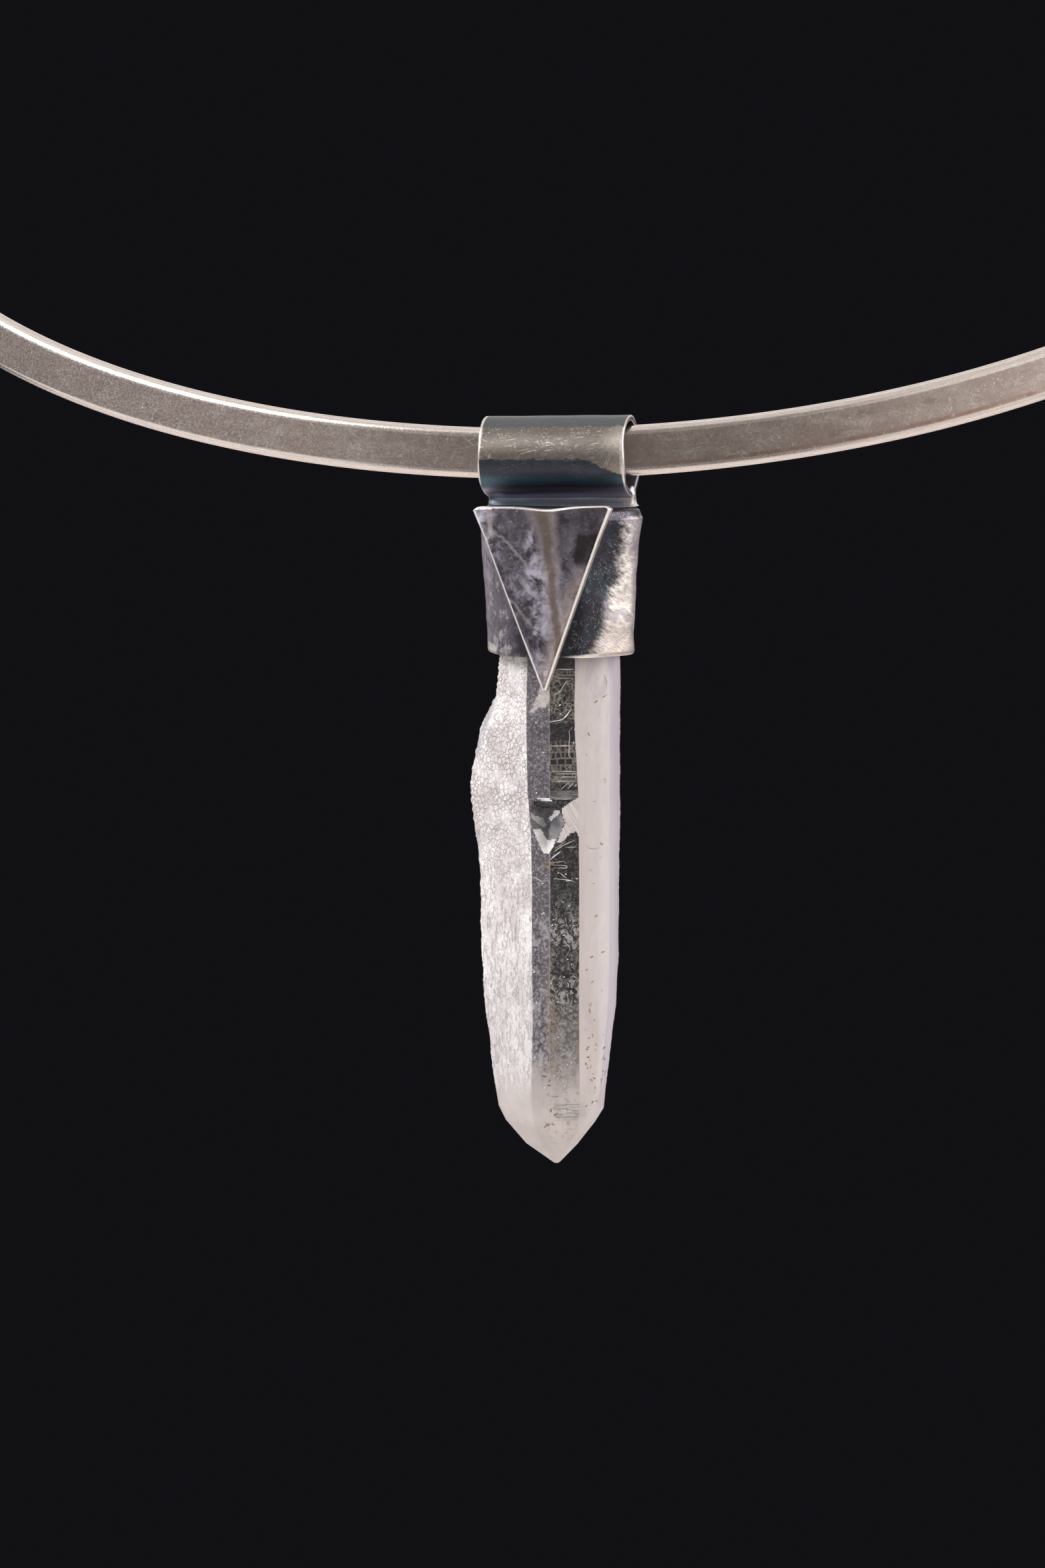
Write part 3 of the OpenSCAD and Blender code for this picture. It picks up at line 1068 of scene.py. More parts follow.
# %% The bail's shape
BAIL_LEN = 11.6
BORE_R = 2.65
SHEET_T = 0.45
NECK_BACK = 0.6
NECK_TOP = -3.25
NECK_FOOT = -4.1
NECK_SEAM = 0.012
BAIL_LEAVES = math.radians(236)
BAIL_ARRIVES = BAIL_LEAVES + math.radians(76) - math.tau
BAIL_RIMS = ((0.0, 0.45), (0.03, 0.78), (0.09, 0.97), (0.16, 1.0))  # inset, share of the sheet
SHEET_WOBBLE = 0.045
RIM_ZONE = 0.9  # how far in from each end the hand-cut rim still tells
RIM_SLIP, RIM_SKEW = 0.10, 0.06


def at_angle(angle):
    """Where a circle of radius 1 is at an angle: (back, up)."""
    return np.array([np.cos(angle), np.sin(angle)])


def bend(start, start_way, end, end_way, count):
    """A smooth bend between two points, leaving and arriving in given directions."""
    t = np.linspace(0, 1, count)[:, None]
    from_start = (2 * t ** 3 - 3 * t ** 2 + 1) * start + (t ** 3 - 2 * t ** 2 + t) * start_way
    return from_start + (-2 * t ** 3 + 3 * t ** 2) * end + (t ** 3 - t ** 2) * end_way


def bail_line():
    """The middle of the folded sheet, seen from the right end: points (back, up)."""
    r = BORE_R + SHEET_T / 2
    front = NECK_BACK - SHEET_T / 2 - NECK_SEAM
    back = NECK_BACK + SHEET_T / 2 + NECK_SEAM
    on_front, on_back = r * at_angle(BAIL_LEAVES), r * at_angle(BAIL_ARRIVES)
    front_way, back_way = at_angle(BAIL_LEAVES - math.pi / 2), at_angle(BAIL_ARRIVES - math.pi / 2)
    leg = np.linspace(NECK_FOOT, NECK_TOP, 8)[:-1]
    line = np.concatenate([
        [(front, z) for z in leg],
        bend((front, NECK_TOP), (0, 1.0), on_front, front_way * 3.0, 16),
        r * at_angle(np.linspace(BAIL_LEAVES, BAIL_ARRIVES, 90)[1:-1]).T,
        bend(on_back, back_way * 2.0, (back, NECK_TOP), (0, -1.0), 14),
        [(back, z) for z in leg[::-1]],
    ])
    # No part of the sheet may come nearer to the strip than the bore's wall.
    distance = np.linalg.norm(line, axis=1)
    return line * (np.maximum(distance, r) / distance)[:, None]


def make_bail_shape():
    """The folded sheet's skin, with rounded rims at both ends."""
    line = bail_line()
    outward = beside(line)
    half = BAIL_LEN / 2
    stations = [(-half + inset, share) for inset, share in BAIL_RIMS]
    stations += [(x, 1.0) for x in np.linspace(-half + 0.3, half - 0.3, 64)]
    stations += [(half - inset, share) for inset, share in reversed(BAIL_RIMS)]
    rings = []
    for x, share in stations:
        t = SHEET_T / 2 * share
        wobble = [noise.noise(Vector((x * 0.33, back * 0.4, up * 0.4 + 5))) for back, up in line]
        outer = line + outward * (t + SHEET_WOBBLE * np.array(wobble)[:, None])
        inner = line - outward * t
        loop = np.concatenate([outer, inner[::-1]])
        # The rims are cut by hand: they wander a few hundredths of a millimetre.
        near_rim = max(0.0, (abs(x) - half + RIM_ZONE) / RIM_ZONE)
        slip = RIM_SLIP * near_rim * noise.noise(Vector((x * 0.2, 3.1, 0)))
        skew = RIM_SKEW * near_rim * np.sin(loop[:, 1] * 1.3 + (2.0 if x > 0 else 0.4))
        rings.append(np.column_stack([x + slip + skew, loop]))
    columns = len(rings[0])
    faces = skin_faces(len(rings), columns)
    for first in (0, (len(rings) - 1) * columns):
        last = first + columns - 1
        faces += [[first + i, first + i + 1, last - i - 1, last - i] for i in range(len(line) - 1)]
    return np.concatenate(rings), faces


# %% [markdown]
# The sheet's oxide is still whole on top and on the underside, and rubbed off in a band
# along the front. The mask is the angle round the bore. The rims and the solder at the right
# end are bare. Some colour here is painted light: the oxide is paler on the underside, the
# bare band darker towards its upper edge, and the teal near the neck is a painted sheen.

# %% The bail's finish


def make_bail_silver():
    """Slate-blue oxide with a brushed, scratched band along the front, and painted light and shade.
    """
    material, place = new_silver("bail_silver", 0.95)
    x, y, z = parts_of(place)
    straight = z - x * math.tan(ring_lean)
    angle = sum_of("ARCTAN2", straight, y * -1.0)
    fuzz = cloudy(place * (0.8, 1.2, 1.2), 2.4, 4.0, 0.7)
    ragged = angle + (fuzz - 0.5) * 0.26
    droop = fade(x, 2.2, 6.6, 0.0, 0.50)
    band = fade(ragged + droop, -0.13, 0.06) * fade(ragged, 0.90, 0.80)
    rims = fade(abs(x), 5.45, 5.72)
    cloud = cloudy(place * (0.3, 1.0, 1.0), 1.2)
    skin = layered(
        (0.062, 0.066, 0.085),
        (fade(ragged, 0.3, 0.9), (0.108, 0.118, 0.124)),
        (fade(abs(angle + 0.64), 0.26, 0.06) * fade(cloud, 0.2, 0.5), (0.075, 0.130, 0.165)),
        # Painted light: the oxide turns pale lavender on the underside, to lighten the shade there.
        (fade(angle, -0.76, -1.0), (0.40, 0.37, 0.46)),
    )
    bare = layered(
        (0.210, 0.185, 0.162),
        # Painted shade: the bare band darkens towards its upper edge, against the light it catches
        # from above.
        (fade(ragged, 0.15, 0.75), (0.158, 0.144, 0.130)),
        (fade(x, 3.6, 5.4, 0.0, 0.5), (0.42, 0.38, 0.33)),
        (rims, (0.8, 0.75, 0.71)),
    )
    silver, rough = use_group(
        RUBBED, place, Rubbed=larger(band, rims * fade(angle, -1.2, -0.2, 0.35, 0.75)),
        Fray=0.12, Size=1.0, Bare=bare, Skin=skin,
    )
    lines = use_group(SCRATCHES, place, Length=1.3, Amount=1.0) * fade(band, 0.0, 1.0, 0.08, 0.48)
    # Painted sheen: bright teal lines low on the legs near the neck, over teal oxide.
    teal_painted_sheen = fade(straight, -2.6, -3.1) * fade(cloudy(place * (0.15, 3.0, 9.0), 1.6), 0.5, 0.7)
    colour = layered(
        silver,
        (smaller(lines, 0.55), (0.80, 0.76, 0.71)),
        (teal_painted_sheen * 0.5, (0.16, 0.27, 0.34)),
    )
    brushed = cloudy(place * (0.5, 7.0, 7.0), 1.6, 3.0, 0.6)
    return coat(material, colour, brushed - lines * 0.7, 0.006, rough + band * 0.10)


def make_bail():
    """The folded bail."""
    piece = make_object("bail", *make_bail_shape(), LEANING)
    return finish_piece(piece, make_bail_silver())


bail = make_bail()

# %% [markdown]
# ## The solder
#
# The bail's neck stands on the cap's top, and solder has run into the corner all round it.
# Its section is a quarter of a circle, hollow side out. At both ends a drop of solder has
# filled the pinch between the sheet's two legs.

# %% The solder's shape
SOLDER_R = 0.80
SOLDER_FOOT = -3.98
SOLDER_AT_ENDS = 0.30  # how much less it spreads past the neck's two ends
NECK_HALF = SHEET_T + NECK_SEAM
DROPS = (
    # across, back, up, then half sizes in those directions
    (5.58, NECK_BACK, -3.00, 0.26, 0.50, 0.62),
    (-5.62, NECK_BACK, -3.15, 0.18, 0.42, 0.40),
)


def neck_outline():
    """The outline of the neck as seen from above, with the way out at each point."""
    half = BAIL_LEN / 2 - 0.03
    along_neck = np.linspace(-half, half, 64)
    over_neck = np.linspace(-NECK_HALF, NECK_HALF, 7)
    front = [(x, NECK_BACK - NECK_HALF, 0, -1) for x in along_neck]
    right = [(half, NECK_BACK + y, 1, 0) for y in over_neck]
    back = [(x, NECK_BACK + NECK_HALF, 0, 1) for x in along_neck[::-1]]
    left = [(-half, NECK_BACK - y, -1, 0) for y in over_neck]
    outline = np.array(front + right + back + left, float)
    for _ in range(3):  # ease the way out round the corners
        way = outline[:, 2:].copy()
        outline[:, 2:] = (way + np.roll(way, 1, 0) + np.roll(way, -1, 0)) / 3
    return outline


def make_fillet():
    """The fillet round the neck: its points and faces."""
    outline = neck_outline()
    x, y, out_x, out_y = outline.T
    rings = []
    for angle in np.radians(np.linspace(-8, 90, 16)):
        offset = SOLDER_R * (1 - math.cos(angle))
        height = SOLDER_FOOT + SOLDER_R * (1 - math.sin(angle))
        wobble = np.array([
            noise.noise(Vector((px * 0.5, py * 0.8, height))) for px, py in zip(x, y)
        ])
        reach = offset * (1 + 0.25 * wobble) + 0.01
        rings.append(np.column_stack([
            x + out_x * reach * SOLDER_AT_ENDS, y + out_y * reach, height + 0.04 * wobble,
        ]))
    return np.concatenate(rings), skin_faces(len(rings), len(outline))


def make_drop(centre, half_sizes):
    """One drop of solder: a ball, pressed out of round and a little lumpy."""
    shape = bmesh.new()
    bmesh.ops.create_icosphere(shape, subdivisions=4, radius=1.0)
    for v in shape.verts:
        lumpy = 1 + 0.16 * noise.noise(v.co * 1.3 + Vector(centre))
        v.co = Vector(c + h * u * lumpy for c, h, u in zip(centre, half_sizes, v.co))
    points = [v.co[:] for v in shape.verts]
    faces = [[v.index for v in f.verts] for f in shape.faces]
    shape.free()
    return points, faces


def make_solder_silver():
    """Solder: dark oxide, painted pale with a steel-blue sheen in front to light its shaded corner,
    painted darker at the left end, and bare at the right end.
    """
    material, place = new_silver("solder_silver", 0.6)
    x, _, z = parts_of(place)
    painted_sheen = cloudy(place * (0.15, 1.5, 7.0), 1.2, 3.0)
    # Painted light: the skin is made pale to light the shaded corner, with a painted steel-blue
    # sheen in front.
    teal_painted_sheen = layered(
        (0.53, 0.50, 0.56),
        (fade(painted_sheen, 0.42, 0.6), (0.54, 0.71, 0.84)),
        # Painted shade: the left end is darkened, against the left lamp's reflection.
        (fade(x, -4.9, -5.6), (0.1, 0.11, 0.14)),
    )
    silver, rough = use_group(
        RUBBED, place, Rubbed=fade(x, 4.4, 5.4) * (fade(z, -3.9, -3.2) + 0.35), Fray=0.3, Size=1.2,
        Bare=(0.78, 0.73, 0.7), Skin=teal_painted_sheen,
    )
    return coat(material, silver, cloudy(place, 2.0, 3.0), 0.03, rough)


def make_solder():
    """The fillet and both drops, as one piece."""
    shapes = [make_fillet()] + [make_drop(drop[:3], drop[3:]) for drop in DROPS]
    piece = make_object("solder", *joined(shapes), LEANING)
    return finish_piece(piece, make_solder_silver())


solder = make_solder()
for piece in (cap, plate, bail, solder):
    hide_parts("setting")

# %% [markdown]
# ## The quartz point
#
# A quartz crystal is a six-sided prism with a pointed end. This one is natural, so its sides
# are uneven: its front is bent along a low ridge, the face to the right of it along a low
# step, the left side swells out, and a chip has left a faceted hollow on the ridge. A table
# gives where the upright edges lie at a few heights, and straight lines join them, because
# crystal faces are flat. Only the depth is eased near the point, which is worn.

# %% The crystal's shape
CRYSTAL_ROWS = (
    # down, left, edge a, ridge, edge b, step, right, half depth
    (4.80, -4.20, -2.30, -0.70, 1.20, 3.10, 4.30, 3.75),
    (16.90, -4.70, -2.50, -0.75, 1.20, 3.80, 4.78, 4.05),
    (18.80, -4.95, -2.55, -0.75, 1.15, 3.90, 4.75, 4.15),
    (21.30, -6.20, -2.55, -0.75, 1.20, 3.90, 4.75, 4.25),
    (25.70, -6.95, -2.45, -0.75, 1.45, 3.90, 4.75, 4.35),
    (28.90, -6.60, -2.20, -0.70, 1.50, 3.90, 4.78, 4.35),
    (33.00, -6.10, -2.12, -0.70, 1.54, 3.90, 4.68, 4.35),
    (39.20, -6.05, -2.12, -0.70, 1.54, 3.90, 4.65, 4.35),
    (43.00, -5.80, -2.05, -0.75, 1.54, 3.80, 4.48, 4.20),
    (49.60, -4.95, -2.20, -0.70, 1.60, 3.15, 3.66, 3.55),
    (51.10, -4.70, -2.10, -0.65, 1.55, 2.80, 3.52, 3.20),
    (52.20, -4.15, -1.90, -0.60, 1.35, 2.30, 2.85, 2.55),
    (54.00, -2.55, -1.25, -0.40, 0.75, 1.15, 1.45, 1.40),
    (55.40, -0.50, -0.35, -0.20, -0.05, 0.05, 0.10, 0.25),
)
EDGE_DEPTHS = (0.30, -0.90, -1.00, -1.00, -0.42, 0.00, 0.88, 0.90)
BACK_SHARE = 0.48
# The sides, going round from the left edge: points along each, and how grainy each one is.
SIDE_COLUMNS = (54, 17, 26, 24, 12, 16, 14, 22)
SIDE_GRAIN = (1.0, 0, 0, 0.08, 0.2, 0.5, 0.1, 0.9)
LEFT_SIDE, VEIL_SIDE, CLEAR_SIDE, SATIN_SIDE, STRIP_SIDE, BACK_RIGHT, BACK, BACK_LEFT = range(8)
ROW_STEP = 0.125
HIDDEN_ROW_STEP = 0.6
HIDDEN_TO = 15.0  # the cap hides the crystal down to here
GRAINS_PER_MM, LUMPS_PER_MM = 2.2, 0.55
GRAIN_RELIEF, LUMP_RELIEF = 0.17, 0.10
WORN_GRAIN = 0.08  # how much of the grains' relief is gone near the point
POINT_SMOOTH = 50.5  # from here down, the point has no grain

# The chip is a hollow with straight sides: its corners (across, down) going round, and how
# steeply the hollow falls away from the side that starts at each corner.
CHIP = (
    (-1.95, 26.45, 2.4), (-0.50, 26.50, 1.8), (0.14, 27.05, 1.5), (0.28, 27.50, 1.1),
    (0.42, 28.15, 0.75), (-0.12, 29.45, 0.7), (-0.80, 30.60, 0.8), (-1.30, 30.30, 0.8),
    (-2.00, 28.60, 0.9), (-2.36, 27.30, 1.6),
)
CHIP_DEPTH = 0.85


def crystal_corners(down):
    """The eight corners of the crystal's outline at one height."""
    left, a, ridge, b, step, right, _ = row_at(CRYSTAL_ROWS, down)
    deep = np.mean([row_at(CRYSTAL_ROWS, down + o)[-1] for o in (-0.9, -0.45, 0, 0.45)])
    middle = (a + b) / 2
    backs = [middle + BACK_SHARE * (side - middle) for side in (right, left)]
    across = [left, a, ridge, b, step, right] + backs
    return np.column_stack([across, np.array(EDGE_DEPTHS) * deep])


def chip_hollow(x, down):
    """How deep the chip is at a place on the front."""
    depth = np.full(np.shape(x), CHIP_DEPTH)
    for (x0, d0, steep), (x1, d1, _) in zip(CHIP, CHIP[1:] + CHIP[:1]):
        length = math.hypot(x1 - x0, d1 - d0)
        # Positive on the inner side, because the corners go round clockwise as seen.
        side = ((x1 - x0) * (down - d0) - (d1 - d0) * (x - x0)) / length
        depth = np.minimum(depth, side * steep)
    return np.maximum(depth, 0)


def crystal_ring(down):
    """One level outline, with points along each side, and the chip taken out of the front."""
    corners = crystal_corners(down)
    sides = []
    for start, end, count in zip(corners, np.roll(corners, -1, 0), SIDE_COLUMNS):
        sides.append(start + (end - start) * np.linspace(0, 1, count, endpoint=False)[:, None])
    ring = np.concatenate(sides)
    front = ring[:, 1] < -0.5
    ring[:, 1] += np.where(front, chip_hollow(ring[:, 0], down), 0)
    return np.column_stack([ring, np.full(len(ring), -down)])


def crystal_rows():
    """The heights of the rows: evenly close together, with one at each bend of the table."""
    heights = sorted([row[0] for row in CRYSTAL_ROWS] + [HIDDEN_TO])
    rows = []
    for top, bottom in zip(heights, heights[1:]):
        step = HIDDEN_ROW_STEP if bottom <= HIDDEN_TO else ROW_STEP
        count = max(2, math.ceil((bottom - top) / step))
        rows += list(np.linspace(top, bottom, count, endpoint=False))
    return rows + [heights[-1]]


def roughened(points, grain_of):
    """Moves points outwards and inwards, to make the frosted sides grainy."""
    moved = points.copy()
    for i in np.flatnonzero(grain_of):
        x, y, z = points[i]
        place = Vector((x, y, z))
        near, _ = noise.voronoi(place * GRAINS_PER_MM)
        grain = min(near[1] - near[0], 0.5)
        lumps = noise.noise(place * LUMPS_PER_MM)
        out = Vector((x, y, 0)).normalized()
        calm = min(1.0, max(0.0, (POINT_SMOOTH + z) / 1.5))
        deep_down = min(1.0, max(0.0, (-z - 29) / 8))
        push = (GRAIN_RELIEF - WORN_GRAIN * deep_down) * grain - 0.04 + LUMP_RELIEF * lumps
        moved[i] = place + out * (grain_of[i] * calm * push)
    return moved


def make_crystal_shape():
    """The crystal's skin and, for each face, the side that it is on."""
    rows = crystal_rows()
    columns = sum(SIDE_COLUMNS)
    points = np.concatenate([crystal_ring(down) for down in rows])
    points = roughened(points, np.tile(np.repeat(SIDE_GRAIN, SIDE_COLUMNS), len(rows)))
    faces = skin_faces(len(rows), columns)
    faces += [[first + i for i in range(columns)] for first in (0, (len(rows) - 1) * columns)]
    side_of_face = np.tile(np.repeat(np.arange(8), SIDE_COLUMNS), len(rows) - 1)
    return points, faces, np.append(side_of_face, [LEFT_SIDE, LEFT_SIDE])


# %% [markdown]
# Each side has its own finish. The left side is frosted like cracked ice, the two front faces
# show the dark inside through a fine veil, with specks and etched marks, the right sides are
# a smooth cream, and towards the point all of it turns milky. Four groups serve them: one
# makes milky wisps, one the milky point, one curly threads, and one the rust along the ridge.
# Quartz bends light a little more than window glass does, which its index of 1.544 says.

# %% Quartz
QUARTZ_IOR = 1.544


def make_wisps():
    """Group: milky wisps, clouds and specks in a clear stone."""
    tree, given, out = new_tree(
        "milky wisps",
        {"Place": "Vector", "Size": 1.0, "Cover": 0.5, "Specks": 0.5,
         "Clear": (0.05, 0.05, 0.05), "Milk": (0.9, 0.88, 0.88)},
        {"Color": "Color"},
    )
    broad = cloudy(given["Place"] * (1.0, 1.0, 0.6), given["Size"] * 0.5, 3.0, 0.6, 0.6)
    fine = cloudy(given["Place"], given["Size"] * 4.0, 4.0, 0.75, 0.3)
    clouds = fade(broad, 0.25, 0.8) * given["Cover"]
    dots = fade(fine, 0.46, 0.66) * given["Specks"]
    plug(mixed(smaller(clouds + dots, 1.0), given["Clear"], given["Milk"]), out["Color"])
    return tree


def make_point_milk():
    """Group: how milky the stone is near its point, with grit and level growth lines."""
    tree, given, out = new_tree(
        "milky point",
        {"Place": "Vector", "Start": -44.0, "End": -50.0, "Tone": (0.59, 0.540, 0.522)},
        {"Color": "Color", "Share": "Float"},
    )
    place = given["Place"]
    x, _, z = parts_of(place)
    drift = cloudy(place * (1.0, 1.0, 0.45), 1.3, 3.0, 0.65)
    plug(fade(z + (drift - 0.5) * 5.0, given["Start"], given["End"]), out["Share"])
    lines = fade(cloudy(place * (0.9, 0.5, 9.0), 1.0, 3.0, 0.6), 0.44, 0.56)
    lines = lines * fade(abs(x - 0.9), 1.5, 0.9) * fade(abs(z + 50.9), 0.9, 0.5)
    grit = fade(cloudy(place, 2.6, 3.0, 0.7), 0.52, 0.66)
    near = fade(abs(x - 0.3), 2.2, 0.4) * fade(z, -54.2, -52.5, 0.3, 1.0)
    milk = layered(
        given["Tone"] * (0.86, 0.86, 0.86),
        (fade(cloudy(place, 0.45), 0.3, 0.7), given["Tone"]),
        (lines * 0.7, (0.36, 0.36, 0.37)),
        (grit * near * 0.6, (0.36, 0.25, 0.17)),
    )
    plug(milk, out["Color"])
    return tree


def make_threads():
    """Group: fine curly threads, the level lines of a soft noise."""
    tree, given, out = new_tree(
        "curly threads", {"Place": "Vector", "Size": 1.3, "Width": 0.03}, {"Lines": "Float"})
    soft = cloudy(given["Place"], given["Size"], 2.0, 0.55, 1.2)
    broken = fade(cloudy(given["Place"], given["Size"] * 1.7), 0.42, 0.54)
    plug(fade(abs(soft - 0.5), given["Width"], 0.0) * broken, out["Lines"])
    return tree


def make_ridge_rust():
    """Group: iron stain that clings to the front's low ridge, more so near the point."""
    tree, given, out = new_tree("rusty ridge", {"Place": "Vector"}, {"Share": "Float"})
    x, _, z = parts_of(given["Place"])
    grit = fade(cloudy(given["Place"], 4.2, 3.0, 0.7), 0.48, 0.58)
    along = fade(abs(x + 0.66), 0.55, 0.10) * fade(z, -36.0, -43.5, 0.10, 0.9)
    spot = fade(abs(x + 0.80) + abs(z + 31.4), 0.90, 0.20)
    plug(grit * larger(along, spot), out["Share"])
    return tree


WISPS = make_wisps()
POINT_MILK = make_point_milk()
THREADS = make_threads()
RIDGE_RUST = make_ridge_rust()


def quartz_place(material):
    """A place in the crystal's own frame."""
    return own_place(material, CRYSTAL.to_translation(), CRYSTAL_TURN - pendant_turn)


def new_quartz(name, clearness, roughness):
    """A material of the quartz, and a place in the crystal's own frame."""
    material = new_material(
        "quartz_" + name, IOR=QUARTZ_IOR, Transmission_Weight=clearness, Roughness=roughness)
    return material, quartz_place(material)


def point_over(place, colour, start, end, **tone):
    """A colour that turns milky towards the point."""
    milk, share = use_group(POINT_MILK, place, Start=start, End=end, **tone)
    return mixed(share, colour, milk)


def make_frosted():
    """The left side: white and grainy, with fine grey cracks between the grains."""
    material, place = new_quartz("frosted", 0.10, 0.38)
    x, _, z = parts_of(place)
    cracks = fade(cells(place + cloudy(place, 1.4) * 0.5, 2.5, "DISTANCE_TO_EDGE"), 0.17, 0.0)
    cracks = cracks * fade(z, -38.0, -25.0, 0.35, 1.0)
    cracks = cracks * fade(cloudy(place, 0.7, 3.0, 0.6), 0.30, 0.60, 0.25, 1.0)
    flaky = fade(cloudy(place * (2.4, 2.4, 0.9), 1.1, 4.0, 0.7, 0.8), 0.50, 0.62)
    dark = cracks + flaky * fade(z, -26.0, -36.0) * 0.7
    wisps = use_group(
        WISPS, place, Size=0.9, Cover=0.95, Specks=0.3,
        Clear=(0.60, 0.55, 0.55), Milk=(0.98, 0.955, 0.95),
    )
    # A small smooth face on the left shoulder shows the grey inside.
    smooth = fade(x - (z + 20.5) * 0.30, -5.25, -5.50)
    smooth = smooth * fade(z, -18.2, -19.0) * fade(z, -24.0, -22.8)
    fibres = fade(cloudy(turned(place, -0.4) * (5.0, 1.0, 0.5), 1.0, 3.0), 0.35, 0.65)
    colour = layered(
        wisps,
        (dark * 0.85, (0.36, 0.315, 0.30)),
        (fade(z, -36.0, -46.0, 0.0, 0.34), (0.56, 0.53, 0.54)),
        (smooth * 0.9, mixed(fibres, (0.36, 0.335, 0.36), (0.60, 0.57, 0.59))),
    )
    height = (cloudy(place, 4.0, 3.0, 0.7) - dark * 0.8) * fade(z, -50.5, -48.0)
    return coat(material, point_over(place, colour, -47.8, -50.2), height, 0.05)


def make_veil():
    """The narrow face left of the ridge: a fine violet-grey veil, with a painted highlight along
    the ridge.
    """
    material, place = new_quartz("veil", 0.30, 0.16)
    x, _, z = parts_of(place)
    wisps = use_group(
        WISPS, place, Size=1.25, Cover=0.14, Specks=0.62,
        Clear=(0.10, 0.09, 0.11), Milk=(0.62, 0.58, 0.62),
    )
    wispy = fade(cloudy(place * (1.6, 1.0, 1.0), 1.1, 4.0, 0.7, 1.0), 0.50, 0.64)
    # A pale, mottled patch lies under the plate's tip and thins out down to the left.
    torn = (cloudy(place, 2.6, 4.0, 0.7) - 0.5) * 1.1
    patch = fade(x - (z + 17.6) * 0.42 + torn, -1.62, -1.25)
    patch = patch * fade(z - (x + 0.8) * 0.43 + torn, -19.15, -18.75)
    patch = patch * fade(torn, -0.15, 0.15, 0.62, 1.0) * fade(z, -17.0, -17.5, 0.0, 0.9)
    pale = mixed(fade(z, -17.4, -18.2), (0.54, 0.44, 0.37), (0.96, 0.88, 0.83))
    pebbles = fade(cells(place, 3.0), 0.62, 0.25) * fade(z, -42.0, -45.5, 0.0, 0.45)
    colour = layered(
        wisps,
        (wispy * fade(z, -33.0, -37.0, 0.05, 0.60), (0.70, 0.67, 0.70)),
        # Painted highlight: a thin pale line along the ridge.
        (fade(abs(x + 0.75), 0.07, 0.02) * 0.5, (0.60, 0.56, 0.56)),
        (patch, pale),
        (use_group(RIDGE_RUST, place), (0.44, 0.345, 0.26)),
        (pebbles, (0.74, 0.72, 0.73)),
    )
    colour = point_over(place, colour, -45.5, -49.6, Tone=(0.82, 0.750, 0.722))
    return coat(material, colour, cloudy(place, 4.0, 3.0), 0.008)


def make_frets(place):
    """Small dark rectangles, as growth etches them, and the pale frames round them."""
    x, _, z = parts_of(place)
    made = add(
        place.socket.id_data, "ShaderNodeTexBrick", {"offset": 0.37, "squash": 0.6},
        Vector=place_from(x, z), Color1=(0, 0, 0), Color2=(1, 1, 1), Mortar=(0, 0, 0),
        Scale=1.0, Mortar_Size=0.07, Mortar_Smooth=0.5, Brick_Width=0.58, Row_Height=0.50,
    )
    return fade(Value(made.outputs["Color"]), 0.30, 0.50), Value(made.outputs["Fac"])


def level_streaks(place, z, height, across):
    """Level streaks on a narrow band at a height."""
    streaks = fade(cloudy(place * (*across, 6.0), 1.0), 0.45, 0.6)
    return fade(abs(z - height), 0.5, 0.3) * streaks


